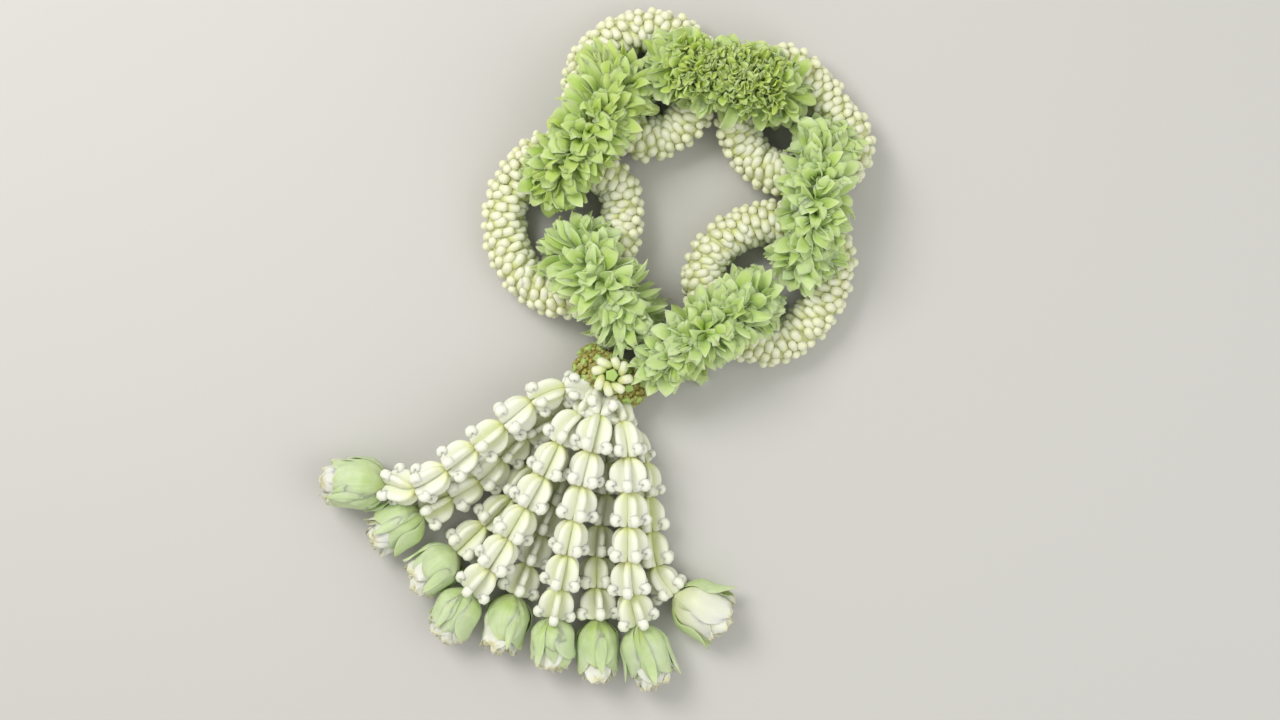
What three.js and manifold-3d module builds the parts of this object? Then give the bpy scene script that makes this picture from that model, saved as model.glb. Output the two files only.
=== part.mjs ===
// A fresh flower garland, laid down flat. Four rings strung with white buds lie in an open wreath,
// five upright rings strung with green petals link them and close the chain at the bottom, and a
// tassel of nine flower strands hangs from the tie there, each strand ending in a half-open bloom.
// Millimetres, +Z up, resting on z = 0, with the origin below the middle of the whole garland.

import * as THREE from "three";
import { mergeVertices } from "three/addons/utils/BufferGeometryUtils.js";
import Module from "manifold-3d";

const wasm = await Module();
wasm.setup();

// Driving dimensions
const GAP = 0.3; // between neighbouring pieces
const TABLE_DEPTH = 30; // of the block that trims what would reach below z = 0
const SPREAD = 400; // width of that block

const BUD_RING_RADIUS = 10.7; // from the thread to the tips of the buds
const BUD_RELIEF = 2.9; // how far the buds stand out of the ring's core
const BUDS_ROUND = 9;
const BUD_LAYER_PITCH = 6.3;
const BUD_TURN = 0.3; // share of a bud's place by which its tip leans round the ring

const CORE_RADIUS = 4.4; // of a petal ring's packed petal bases
const CORE_SIDES = 6;
const CORE_FLAT = CORE_RADIUS * Math.cos(Math.PI / CORE_SIDES); // from the thread to the core's faces
const THREAD_STEP = 3; // between the points that stand for a petal ring's thread
const ARCH_HEIGHT = 35; // of a petal ring's thread at the top of its arch
const ARCH_BEND = (ARCH_HEIGHT - CORE_FLAT) / 2; // radius of the thread round its legs
const PETAL_REACH = 24; // from the thread to a petal's tip, over the arch
const PETAL_PRESS = 0.27; // share by which petals that point straight up are shorter
const LEG_PETAL_REACH = 14; // on the legs, which stand in the bud rings' eyes
const PETAL_WIDTH = 9.6;
const PETAL_WAIST = 0.62; // share of a petal's reach at which it is widest
const PETAL_THICKNESS = 1.1;
const PETAL_CURL = 0.9;
const PETAL_LEAN = 38; // degrees along the thread, away from the middle of the arch
const PETAL_LEAN_SPREAD = 5;
const PARTING = 14; // distance from the arch's middle at which petals lean fully
const PETAL_LIFTS = [0, 0.2, 0.4, 0.65]; // tried in turn where a petal has to bend clear upwards
const PETAL_TWIST = 36; // degrees by which petals at the arch's middle turn their faces upwards
const PETAL_TWIST_SPREAD = 10;
const PETAL_REACH_SPREAD = 0.16;
const PETAL_LAYER_PITCH = 7.1;
const PETAL_ROOT_SHARE = 0.42; // of the pitch
const PETAL_LIMIT = -0.15; // cosine of the widest angle from straight out at which petals stand
const PRESSED_HEIGHT = -0.6; // under the arch, where petals that point down are left out
const PETAL_CLEARANCE = 0.45;
const PETAL_TRIM = 0.09; // share of the reach taken off at a time
const NEARBY_LAYERS = 4;
const FULL_REACH_HEIGHT = 0.6; // share of the arch's height from which petals have their full reach
const SHORTEST_PETAL = 0.55; // share of the full reach below which a petal is left out

const LINKED_TUBES = 2 * BUD_RING_RADIUS + 1; // between the threads of two linked bud rings
const RING_REST_HEIGHT = BUD_RING_RADIUS + GAP;
const SAG_REACH = 23; // how far from a link a bud ring takes to come down to the table

const CORONA_RADIUS = 8.3;
const CORONA_PITCH = 16.8;
const FINS = 5;
const CORONA_TURN = 0.5; // radians over which coronas are turned differently
const THREAD_RADIUS = 1;
const THREAD_SIDES = 5;
const HOOK_RADIUS = 1.3; // of the threads from the tie to the petal rings beside it

const TEPALS = 6;
const BLOOM_TURN = 30; // degrees by which every other bloom is turned
const TEPAL_WIDTH_SHARE = 1.06; // of the bloom's radius
const TEPAL_THICKNESS = 1.6;
const BRACT_WIDTH = 4.6;
const BRACT_REACH = 0.85;
const TEPAL_CUP = 0.14; // how far a tepal's edges stand in, as a share of its width
const OUTER_TEPAL = { inset: 0, tipRadius: 6.5, reach: 0.9 };
const INNER_TEPAL = { inset: 2, tipRadius: 5, reach: 1 };
const RECEPTACLE_RADIUS = 3.4;
const RECEPTACLE_HEIGHT = 6;
const RECEPTACLE_OUTLINE = [
  { along: 1, share: 0.7 },
  { along: 5, share: 1 },
];
const BLOOM_TIP_HEIGHT = 12;

const UP = new THREE.Vector3(0, 0, 1);

// The middle and the heading of each petal ring, half its length between the two legs, and the
// distance from its middle at which each bud ring's end passes through it. The first and the last
// have one end at the tie.
const LINKS = [
  { middle: [4.5, 31.5], heading: -57.8, halfLength: 22, tubes: [-3.5], tiedEnd: 1 },
  { middle: [-2.4, 102.8], heading: 52.8, halfLength: 28.3 },
  { middle: [62.4, 128.4], heading: -13.1, halfLength: 28.3 },
  { middle: [104.3, 71], heading: 80.8, halfLength: 28.3 },
  { middle: [54.5, 9.2], heading: 35, halfLength: 26.5, tubes: [6.5], tiedEnd: -1 },
];

// The thread of each bud ring, seen from above.
const BUD_RINGS = [
  [
    [-9.1, 94.1], [8.6, 83.5], [13, 64.8], [5.3, 40.3],
    [-15.8, 25.4], [-36.5, 38.4], [-44.2, 64.8], [-34.1, 87.4],
  ],
  [
    [4.3, 111.4], [-5.8, 128.6], [2.4, 145.4], [23, 154.6],
    [42.7, 149.3], [51.4, 131.5], [45.6, 112.8], [26.4, 101.8],
  ],
  [
    [68.2, 110.4], [73.3, 126.2], [86.4, 136.8], [105.6, 127.2],
    [118.3, 105.6], [115.2, 88.3], [98.4, 82.6], [79.2, 89.8],
  ],
  [
    [101.3, 59.5], [114.2, 44.2], [108, 20.2], [86.4, 2.9],
    [61.9, 11.5], [51.8, 31.7], [58.1, 49.4], [79.7, 61.4],
  ],
];

// The tie that closes the chain: a squat ring of green buds with its hole facing the tassel.
const TIE = {
  middle: [8.2, -12, 13.6],
  heading: -27.2, // of its long side
  halfWidth: 14.5, // to the middle of its rim
  halfHeight: 9,
  rim: 4.5, // half the thickness of its rim
  halfDepth: 8.6,
  bumpsRound: 5,
  layers: 18,
  relief: 1,
};
const KNOT = { distance: 10.5, halfWidth: 8, halfHeight: 4.4, depth: 2.4 };
const ROSETTE = {
  buds: 8,
  radius: 6.2,
  turn: 10,
  budLength: 7,
  budWidth: 4.4,
  budSides: 6,
  budShoulders: [-0.28, 0.22], // shares of a bud's length from its middle
  discRadius: 5,
  discHeight: 1.6,
  starPoints: 5,
  starGroove: 0.7,
  starOutline: [
    { height: 0.2, radius: 1.8 },
    { height: 2, radius: 3 },
    { height: 3, radius: 1.8 },
  ],
  starTop: 2.6,
};

// The threads of the tassel's strands from the tie to the bloom, the distance at which the first
// corona starts, and how wide the first two are against the rest.
const STRANDS = [
  {
    route: [[-16, -23, 19], [-31.7, -28, 25], [-56.6, -48.5, 26], [-85.4, -68.4, 24], [-99.4, -65.3, 16]],
    start: 16, opening: [0.75, 0.95], row: 1, place: -1.5, bloomTip: [-132.8, -64],
    bloomRadius: 12.5,
  },
  {
    route: [[-12, -30, 9], [-38.4, -44.4, 8.8], [-55.2, -60.6, 8.8], [-84, -79.7, 10]],
    start: 21, opening: [0.75, 0.95], row: 0, place: -2, bloomTip: [-109, -93],
    bloomRadius: 11.3, bracts: [170],
  },
  {
    route: [[-7, -33, 9], [-22.5, -47, 8.8], [-42.2, -73.2, 8.8], [-67.2, -98, 10]],
    start: 29, opening: [0.8, 0.95], row: 0, place: -1, bloomTip: [-88.5, -115],
    bloomRadius: 11, bracts: [170],
  },
  {
    route: [[-3, -28, 19], [-12.5, -37, 25], [-25, -61.4, 26], [-49, -102.2, 22], [-60, -116.2, 15]],
    start: 8, opening: [0.62, 0.85], row: 1, place: -0.5, bloomTip: [-75, -139.5],
    bloomRadius: 11,
  },
  {
    route: [[0, -34, 9], [-12.9, -57.6, 8.8], [-25.4, -85.9, 8.8], [-38.9, -118.6, 10]],
    start: 25, opening: [0.85, 1], row: 0, place: 0, bloomTip: [-47.5, -147],
    bloomRadius: 11,
  },
  {
    route: [[3, -28, 20], [1, -37, 28], [-6.7, -67.7, 28], [-16.8, -113.8, 22], [-20.2, -128.6, 15]],
    start: 8, opening: [0.62, 0.86], row: 1, place: 0.5, bloomTip: [-21.5, -155],
    bloomRadius: 10.6,
  },
  {
    route: [[5, -36, 9], [4.8, -63.4, 8.8], [1, -97, 8.8], [1, -130.6, 10]],
    start: 30, opening: [0.95, 1], row: 0, place: 1, bloomTip: [1.5, -162],
    bloomRadius: 10.4,
  },
  {
    route: [[11, -31, 19], [14.6, -41, 25], [16.3, -67.7, 26], [16.8, -113, 22], [20.6, -132, 15]],
    start: 11, opening: [0.62, 0.9], row: 1, place: 1.5, bloomTip: [30, -164],
    bloomRadius: 11, bracts: [10, 170],
  },
  {
    route: [[13, -33, 9], [22, -49, 8.8], [26.5, -88.8, 8.8], [30, -107.6, 9.2], [38, -119, 10]],
    start: 16, opening: [0.7, 0.9], row: 0, place: 2, bloomTip: [65.5, -133],
    bloomRadius: 12.5,
  },
];
const THREAD_SPACING = 3.4;
const THREAD_ROW_HEIGHT = 4;

// Colours and finishes, one for each kind of piece
const BUD_WHITE = new THREE.MeshStandardMaterial({ color: 0xebeed7, roughness: 0.55, metalness: 0 });
const PETAL_GREEN = new THREE.MeshStandardMaterial({ color: 0xaacd78, roughness: 0.5, metalness: 0 });
const TIE_OLIVE = new THREE.MeshStandardMaterial({ color: 0xa0963c, roughness: 0.6, metalness: 0 });
const THREAD_TAN = new THREE.MeshStandardMaterial({ color: 0xcfc49a, roughness: 0.8, metalness: 0 });
const CORONA_WHITE = new THREE.MeshStandardMaterial({ color: 0xeef0e4, roughness: 0.5, metalness: 0 });
const TEPAL_GREEN = new THREE.MeshStandardMaterial({ color: 0xc8e1b4, roughness: 0.55, metalness: 0 });

// A repeatable stream of numbers from 0 to 1.
function randomStream(seed) {
  let state = seed;
  return () => {
    state = (state + 0x6d2b79f5) | 0;
    let mixed = Math.imul(state ^ (state >>> 15), 1 | state);
    mixed = (mixed + Math.imul(mixed ^ (mixed >>> 7), 61 | mixed)) ^ mixed;
    return ((mixed ^ (mixed >>> 14)) >>> 0) / 4294967296;
  };
}

// A point reached from another by steps along directions: at(origin, side, 3, up, 2).
function at(origin, ...steps) {
  const point = origin.clone();
  for (let i = 0; i < steps.length; i += 2) point.addScaledVector(steps[i], steps[i + 1]);
  return point;
}

function headingVector(degrees) {
  const turn = THREE.MathUtils.degToRad(degrees);
  return new THREE.Vector3(Math.cos(turn), Math.sin(turn), 0);
}

function geometryFrom(points, faces) {
  const geometry = new THREE.BufferGeometry();
  const positions = points.flatMap((point) => point.toArray());
  geometry.setAttribute("position", new THREE.Float32BufferAttribute(positions, 3));
  geometry.setIndex(faces.flat());
  return geometry;
}

function solidFrom(geometry) {
  const bare = geometry.clone();
  bare.deleteAttribute("normal");
  bare.deleteAttribute("uv");
  const merged = mergeVertices(bare, 1e-4);
  return new wasm.Manifold(
    new wasm.Mesh({
      numProp: 3,
      vertProperties: merged.attributes.position.array,
      triVerts: new Uint32Array(merged.index.array),
    }),
  );
}

function meshFrom(name, solid, material) {
  const made = solid.getMesh();
  const geometry = new THREE.BufferGeometry();
  geometry.setAttribute("position", new THREE.BufferAttribute(made.vertProperties, made.numProp));
  geometry.setIndex(new THREE.BufferAttribute(made.triVerts, 1));
  geometry.computeVertexNormals();
  const mesh = new THREE.Mesh(geometry, material);
  mesh.name = name;
  return mesh;
}

function join(solids) {
  return solids.reduce((whole, solid) => whole.add(solid));
}

// The skin over rings of points along a path. A looped path joins its last ring to its first, and
// an open one is closed by a point at each end. Where every other point is high, the shared edges
// join the low ones, so that each high point is a bud of its own.
function loft(rings, { ends, studded = false }) {
  const round = rings[0].length;
  const points = rings.flat();
  const faces = [];
  const spans = ends ? rings.length - 1 : rings.length;
  for (let j = 0; j < spans; j++) {
    const here = j * round;
    const there = ((j + 1) % rings.length) * round;
    for (let k = 0; k < round; k++) {
      const next = (k + 1) % round;
      const [a, b, c, d] = [here + k, here + next, there + k, there + next];
      if (studded && (j + k) % 2 === 0) faces.push([a, b, c], [b, d, c]);
      else faces.push([a, b, d], [a, d, c]);
    }
  }
  if (ends) {
    const lastRing = (rings.length - 1) * round;
    points.push(...ends);
    for (let k = 0; k < round; k++) {
      const next = (k + 1) % round;
      faces.push([points.length - 2, next, k], [points.length - 1, lastRing + k, lastRing + next]);
    }
  }
  return solidFrom(geometryFrom(points, faces));
}

// Side and up directions across a path that runs along a tangent.
function acrossPath(tangent) {
  const side = UP.clone().cross(tangent).normalize();
  return { side, up: tangent.clone().cross(side) };
}

// Points round a frame's axis at a distance along it, one for each radius.
function ringRound(frame, along, radii, turn = 0) {
  const centre = at(frame.base, frame.axis, along);
  return radii.map((radius, k) => {
    const angle = (k * 2 * Math.PI) / radii.length + turn;
    return at(centre, frame.side, radius * Math.cos(angle), frame.up, radius * Math.sin(angle));
  });
}

// Radii that alternate between lobes and the grooves between them.
function lobedRadii(lobes, radius, groove) {
  return Array.from({ length: 2 * lobes }, (_, k) => radius * (k % 2 === 0 ? 1 : groove));
}

// A thin cupped blade from a pointed root over a list of waists to a pointed tip. Its two faces
// meet in its edges.
function blade({ root, waists, tip, across, face, thickness }) {
  const rings = waists.map(({ middle, width, cup }) => [
    at(middle, across, width / 2, face, cup),
    at(middle, face, thickness / 2),
    at(middle, across, -width / 2, face, cup),
    at(middle, face, -thickness / 2),
  ]);
  return loft(rings, { ends: [root, tip] });
}

// Bud rings

function linkEnds(link) {
  const middle = new THREE.Vector3(...link.middle, 0);
  const along = headingVector(link.heading);
  const tubes = link.tubes ?? [-LINKED_TUBES / 2, LINKED_TUBES / 2];
  return tubes.map((distance) => at(middle, along, distance));
}

function legsOf(link) {
  const middle = new THREE.Vector3(...link.middle, 0);
  const along = headingVector(link.heading);
  return [-link.halfLength, link.halfLength].map((distance) => at(middle, along, distance));
}

const CROSSINGS = LINKS.flatMap(linkEnds);
const LEGS = LINKS.flatMap(legsOf);
const SETTLING_PASSES = 6;
const CROSSING_HEIGHT = (ARCH_HEIGHT + CORE_FLAT) / 2;

function budRingCurve(outline) {
  const curve = new THREE.CatmullRomCurve3(outline.map(([x, y]) => new THREE.Vector3(x, y, 0)), true);
  curve.arcLengthDivisions = 400;
  const layers = 2 * Math.round(curve.getLength() / BUD_LAYER_PITCH / 2);
  return curve.getSpacedPoints(layers).slice(0, layers);
}

function giveWay(point, other, clearance) {
  const away = point.clone().sub(other);
  if (away.length() < clearance) point.copy(at(other, away.normalize(), clearance));
}

// The bud rings' threads: each gives way to the legs that stand in its eye and to the ring it is
// linked to, lies on the table, and is lifted where a petal ring passes below it.
function budRingThreads() {
  const threads = BUD_RINGS.map(budRingCurve);
  for (let pass = 0; pass < SETTLING_PASSES; pass++) {
    threads.forEach((thread, index) => {
      const others = threads.filter((_, other) => other !== index).flat();
      for (const point of thread) {
        LEGS.forEach((leg) => giveWay(point, leg, BUD_RING_RADIUS + CORE_RADIUS + 2 * GAP));
        others.forEach((other) => giveWay(point, other, 2 * BUD_RING_RADIUS + 2 * GAP));
      }
    });
  }
  for (const point of threads.flat()) {
    const nearest = distanceTo(CROSSINGS, point);
    const lift = Math.exp(-((nearest / SAG_REACH) ** 2));
    point.z = THREE.MathUtils.lerp(RING_REST_HEIGHT, CROSSING_HEIGHT, lift);
  }
  return threads;
}

function studdedRing(places, section) {
  const rings = places.map((place, j) =>
    section.map(([a, b], k) => at(place.centre, place.side, a[(j + k) % 2], place.up, b[(j + k) % 2])),
  );
  return loft(rings, { studded: true });
}

// Points round a ring's section, as [high, low] distances to the side and upwards.
function studdedSection(studs, halfWidth, halfHeight, relief, turn) {
  const step = Math.PI / studs;
  return Array.from({ length: 2 * studs }, (_, k) => {
    const high = (k + turn) * step;
    const low = k * step;
    return [
      [halfWidth * Math.cos(high), (halfWidth - relief) * Math.cos(low)],
      [halfHeight * Math.sin(high), (halfHeight - relief) * Math.sin(low)],
    ];
  });
}

function budRing(thread) {
  const places = thread.map((centre, j) => {
    const before = thread[(j + thread.length - 1) % thread.length];
    const after = thread[(j + 1) % thread.length];
    return { centre, ...acrossPath(after.clone().sub(before).normalize()) };
  });
  const section = studdedSection(BUDS_ROUND, BUD_RING_RADIUS, BUD_RING_RADIUS, BUD_RELIEF, BUD_TURN);
  return studdedRing(places, section);
}

// Petal rings

// The place at a distance along a petal ring's thread, which runs round an upright oval with
// straight stretches below and above: the point, the direction out of the oval and the tangent.
function petalRingPlace(link, distance) {
  const straight = 2 * (link.halfLength - ARCH_BEND);
  const half = straight + Math.PI * ARCH_BEND;
  const along = headingVector(link.heading);
  const side = UP.clone().cross(along);
  const far = distance % (2 * half) >= half;
  const rest = distance % half;
  const turn = far ? Math.PI : 0;
  const angle = -Math.PI / 2 + turn + Math.max(0, rest - straight) / ARCH_BEND;
  const run = Math.min(rest, straight) - straight / 2;
  const outward = at(new THREE.Vector3(), along, Math.cos(angle), UP, Math.sin(angle));
  const middle = new THREE.Vector3(...link.middle, CORE_FLAT + ARCH_BEND);
  const centre = at(middle, along, far ? -run : run, outward, ARCH_BEND);
  return { centre, outward, side, tangent: outward.clone().cross(side), height: Math.sin(angle) };
}

function petalRingLength(link) {
  return 4 * (link.halfLength - ARCH_BEND) + 2 * Math.PI * ARCH_BEND;
}

function petalRingThread(link) {
  const length = petalRingLength(link);
  const count = Math.round(length / THREAD_STEP);
  return Array.from({ length: count }, (_, j) => petalRingPlace(link, (j * length) / count).centre);
}

function distanceTo(points, point) {
  return Math.min(...points.map((other) => other.distanceTo(point)));
}

// The waist and the tip of a petal that stands out of the core, leaning along the thread.
function ringPetal(place, spin, { lean, reach, twist, lift }) {
  const out = at(new THREE.Vector3(), place.outward, Math.cos(spin), place.side, Math.sin(spin));
  const direction = at(out.multiplyScalar(Math.cos(lean)), place.tangent, Math.sin(lean), UP, lift);
  direction.normalize();
  const across = place.tangent.clone().cross(direction).normalize().applyAxisAngle(direction, twist);
  const face = direction.clone().cross(across);
  const middle = at(place.centre, direction, reach * PETAL_WAIST, face, -PETAL_CURL / 2);
  const width = PETAL_WIDTH * Math.min(1, reach / PETAL_REACH + 0.15);
  const corner = (a, f) => at(middle, across, (a * width) / 2, face, (f * PETAL_THICKNESS) / 2);
  const waist = [corner(-1, -1), corner(1, -1), corner(1, 1), corner(-1, 1)];
  return { waist, tip: at(place.centre, direction, reach, face, PETAL_CURL) };
}

// Points all over a petal, which must stay clear of the neighbouring pieces.
function petalSamples({ waist, tip }, root) {
  const between = (share, a, b) => a.clone().lerp(b, share);
  const upper = waist.map((point) => between(0.5, point, tip));
  const lower = waist.map((point) => between(0.35, point, root));
  return [tip, ...waist, ...upper, ...lower];
}

// A petal above its root as a solid of its own, to be held against its neighbours.
function petalBody({ waist, tip }, base) {
  const low = base.map((point, i) => point.clone().lerp(waist[i], 0.04));
  return loft([low, waist], { ends: [low[0].clone().lerp(low[2], 0.5), tip] });
}

// The form of the petal at a place of a petal ring and at an angle round its thread.
function petalForm(link, place, spin, random) {
  const toMiddle = place.centre.clone().sub(new THREE.Vector3(...link.middle, 0));
  const offset = toMiddle.dot(headingVector(link.heading));
  const spread = THREE.MathUtils.clamp(offset / PARTING, -1, 1);
  const height = Math.max(0, place.height);
  const isTied = Math.sign(offset) === link.tiedEnd;
  const overArch = isTied ? 1 : THREE.MathUtils.smoothstep(place.height, 0, FULL_REACH_HEIGHT);
  const fullReach = THREE.MathUtils.lerp(LEG_PETAL_REACH, PETAL_REACH, overArch);
  const lean = -spread * PETAL_LEAN * (1 + place.height) / 2 + (random() - 0.5) * PETAL_LEAN_SPREAD;
  const twist = PETAL_TWIST * (1 - Math.abs(spread)) * height + (random() - 0.5) * PETAL_TWIST_SPREAD;
  const press = 1 - PETAL_PRESS * Math.max(0, Math.cos(spin)) * height;
  return {
    lean: THREE.MathUtils.degToRad(lean),
    twist: THREE.MathUtils.degToRad(twist),
    reach: fullReach * press * (1 - random() * PETAL_REACH_SPREAD),
  };
}

// The longest and least lifted petal that stays clear of the neighbouring pieces and petals.
function longestFree(place, spin, form, base, isFree, nearby) {
  const lifts = place.height > 0 ? PETAL_LIFTS : [0];
  for (let share = 1; share >= SHORTEST_PETAL; share -= PETAL_TRIM) {
    for (const lift of lifts) {
      const petal = ringPetal(place, spin, { ...form, reach: form.reach * share, lift });
      if (!petalSamples(petal, place.centre).every(isFree)) continue;
      const body = petalBody(petal, base);
      if (nearby.every((other) => other.body.intersect(body).isEmpty())) return { ...petal, body };
    }
  }
  return null;
}

// A petal ring is a six-sided core whose faces are drawn out into petals, layer by layer along its
// thread. Petals that would reach a neighbour are bent up or shorter, or are left out.
function petalRing(link, seed, isFree) {
  const random = randomStream(seed);
  const length = petalRingLength(link);
  const layers = 2 * Math.round(length / PETAL_LAYER_PITCH / 2);
  const pitch = length / layers;
  const points = [];
  const faces = [];
  const petals = [];
  for (let layer = 0; layer < layers; layer++) {
    for (const part of [-PETAL_ROOT_SHARE / 2, PETAL_ROOT_SHARE / 2]) {
      const { centre, outward, side } = petalRingPlace(link, (layer + part + layers) * pitch);
      for (let k = 0; k < CORE_SIDES; k++) {
        const angle = coreAngle(layer, k - 0.5);
        const [out, across] = [CORE_RADIUS * Math.cos(angle), CORE_RADIUS * Math.sin(angle)];
        points.push(at(centre, outward, out, side, across));
      }
    }
  }
  const corePoints = points.length;
  for (let ring = 0; ring < 2 * layers; ring++) {
    const layer = Math.floor(ring / 2);
    const place = petalRingPlace(link, layer * pitch);
    const isNearby = (other) => {
      const apart = layer - other.layer;
      return Math.min(apart, layers - apart) < NEARBY_LAYERS;
    };
    for (let k = 0; k < CORE_SIDES; k++) {
      const next = (k + 1) % CORE_SIDES;
      const here = ring * CORE_SIDES;
      const there = (here + CORE_SIDES) % corePoints;
      const corners = [here + k, here + next, there + next, there + k];
      const spin = coreAngle(layer, k);
      const form = petalForm(link, place, spin, random);
      const isRoot = ring % 2 === 0 && Math.cos(spin) > PETAL_LIMIT;
      const isPressed = place.height < PRESSED_HEIGHT && Math.cos(spin) > 0.5;
      const base = corners.map((corner) => points[corner]);
      const nearby = petals.filter(isNearby);
      const petal = isRoot && !isPressed ? longestFree(place, spin, form, base, isFree, nearby) : null;
      if (petal) {
        faces.push(...petalFaces(corners, points.length));
        points.push(...petal.waist, petal.tip);
        petals.push({ layer, body: petal.body });
      } else {
        faces.push([corners[0], corners[1], corners[2]], [corners[0], corners[2], corners[3]]);
      }
    }
  }
  return solidFrom(geometryFrom(points, faces)).subtract(tableBlock());
}

// The faces of a petal from the corners of its root over its waist, whose four points come first,
// to its tip.
function petalFaces(corners, first) {
  return corners.flatMap((corner, i) => {
    const next = (i + 1) % corners.length;
    const [here, there] = [first + i, first + next];
    return [[corner, corners[next], there], [corner, there, here], [here, there, first + corners.length]];
  });
}

// The faces of every other layer's core are turned by half a side.
function coreAngle(layer, side) {
  return ((side + (layer % 2) / 2) * 2 * Math.PI) / CORE_SIDES;
}

function tableBlock() {
  const block = new THREE.BoxGeometry(SPREAD * 2, SPREAD * 2, TABLE_DEPTH);
  block.translate(0, 0, -TABLE_DEPTH / 2);
  return solidFrom(block);
}

// The tie, its threads and its rosette

const TIE_LONG = headingVector(TIE.heading);
const TIE_AXIS = TIE_LONG.clone().cross(UP); // towards the tassel
const TIE_MIDDLE = new THREE.Vector3(...TIE.middle);

function tiePlaces() {
  return Array.from({ length: TIE.layers }, (_, j) => {
    const angle = (j * 2 * Math.PI) / TIE.layers;
    const [cos, sin] = [Math.cos(angle), Math.sin(angle)];
    const centre = at(TIE_MIDDLE, TIE_LONG, TIE.halfWidth * cos, UP, TIE.halfHeight * sin);
    const tangent = at(new THREE.Vector3(), TIE_LONG, -TIE.halfWidth * sin, UP, TIE.halfHeight * cos);
    return { centre, side: TIE_AXIS.clone().cross(tangent.normalize()), up: TIE_AXIS };
  });
}

function tieBand() {
  return studdedRing(tiePlaces(), studdedSection(TIE.bumpsRound, TIE.rim, TIE.halfDepth, TIE.relief, 0));
}

// A straight round bar between two points.
function bar(ends, radius) {
  const { side, up } = acrossPath(ends[1].clone().sub(ends[0]).normalize());
  const rings = ends.map((centre) =>
    Array.from({ length: THREAD_SIDES }, (_, k) => {
      const angle = (k * 2 * Math.PI) / THREAD_SIDES;
      return at(centre, side, radius * Math.cos(angle), up, radius * Math.sin(angle));
    }),
  );
  return loft(rings, { ends });
}

function box(middle, along, across, length, width, height) {
  const basis = new THREE.Matrix4().makeBasis(along, across, UP).setPosition(middle);
  return solidFrom(new THREE.BoxGeometry(length, width, height).applyMatrix4(basis));
}

// The knot behind the tie, the threads through its hole, and one to each petal ring it closes.
function bindingThreads() {
  const knotMiddle = at(TIE_MIDDLE, TIE_AXIS, KNOT.distance);
  const knot = box(knotMiddle, TIE_AXIS, TIE_LONG, KNOT.depth, 2 * KNOT.halfWidth, 2 * KNOT.halfHeight);
  const holeHeight = 2 * (TIE.halfHeight - TIE.rim - GAP);
  const through = box(TIE_MIDDLE, TIE_AXIS, TIE_LONG, 2 * KNOT.distance, KNOT.halfWidth, holeHeight);
  const hooks = tiedLegs().map((leg) => bar([tieFront(), leg], HOOK_RADIUS));
  return join([knot, through, ...hooks]);
}

function tieFront() {
  return at(TIE_MIDDLE, TIE_AXIS, 1 - TIE.halfDepth);
}

function pointsBetween(start, end) {
  return Array.from({ length: 9 }, (_, i) => start.clone().lerp(end, i / 8));
}

// Where the first and the last petal ring are tied: just outside the core of the leg by the tie.
function tiedLegs() {
  return LINKS.filter((link) => link.tiedEnd).map((link) => {
    const along = headingVector(link.heading).multiplyScalar(link.tiedEnd);
    const leg = at(new THREE.Vector3(...link.middle, TIE.middle[2]), along, link.halfLength - 1);
    const towards = TIE_MIDDLE.clone().sub(leg).setZ(0).normalize();
    return at(leg, towards, CORE_RADIUS + GAP);
  });
}

function rosetteFloor() {
  return at(TIE_MIDDLE, UP, TIE.halfHeight + TIE.rim + GAP);
}

// The rosette's buds lie round a small disc on top of the tie.
function rosetteBuds() {
  const floor = rosetteFloor();
  const { discRadius, discHeight } = ROSETTE;
  const disc = new THREE.CylinderGeometry(discRadius, discRadius, discHeight, ROSETTE.buds);
  disc.rotateX(Math.PI / 2);
  disc.translate(floor.x, floor.y, floor.z + discHeight / 2);
  const buds = Array.from({ length: ROSETTE.buds }, (_, k) => {
    const out = headingVector((k * 360) / ROSETTE.buds + ROSETTE.turn);
    return rosetteBud(at(floor, UP, ROSETTE.budWidth / 2, out, ROSETTE.radius), out);
  });
  return join([solidFrom(disc), ...buds]);
}

function rosetteBud(centre, out) {
  const across = UP.clone().cross(out);
  const half = ROSETTE.budWidth / 2;
  const rings = ROSETTE.budShoulders.map((share) =>
    Array.from({ length: ROSETTE.budSides }, (_, i) => {
      const angle = (i * 2 * Math.PI) / ROSETTE.budSides;
      const shoulder = at(centre, out, share * ROSETTE.budLength);
      return at(shoulder, across, half * Math.cos(angle), UP, half * Math.sin(angle));
    }),
  );
  return loft(rings, { ends: [-0.5, 0.5].map((share) => at(centre, out, share * ROSETTE.budLength)) });
}

// The small green star that stands on the disc in the rosette's middle.
function rosetteCentre() {
  const frame = {
    base: at(rosetteFloor(), UP, ROSETTE.discHeight + GAP),
    axis: UP,
    side: new THREE.Vector3(1, 0, 0),
    up: new THREE.Vector3(0, 1, 0),
  };
  const rings = ROSETTE.starOutline.map(({ height, radius }) =>
    ringRound(frame, height, lobedRadii(ROSETTE.starPoints, radius, ROSETTE.starGroove)),
  );
  return loft(rings, { ends: [frame.base, at(frame.base, UP, ROSETTE.starTop)] });
}

// Strands of coronas

function strandRoute(strand) {
  const start = at(
    TIE_MIDDLE,
    TIE_AXIS, KNOT.distance + KNOT.depth / 2 + THREAD_RADIUS,
    TIE_LONG, strand.place * THREAD_SPACING,
    UP, (strand.row - 0.5) * THREAD_ROW_HEIGHT,
  );
  const points = [start, ...strand.route.map((point) => new THREE.Vector3(...point))];
  const curve = new THREE.CatmullRomCurve3(points, false, "centripetal");
  curve.arcLengthDivisions = 300;
  return curve;
}

// The outline of a corona from its narrow hub to its wide end, as shares of its length and of its
// radius: how far along, the reach of the fins, and the depth of the grooves between them.
const CORONA_OUTLINE = [
  { along: 0, fin: 0.28, groove: 0.2 },
  { along: 0.3, fin: 0.62, groove: 0.36 },
  { along: 0.66, fin: 1, groove: 0.5 },
  { along: 0.88, fin: 0.86, groove: 0.4 },
];

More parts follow.
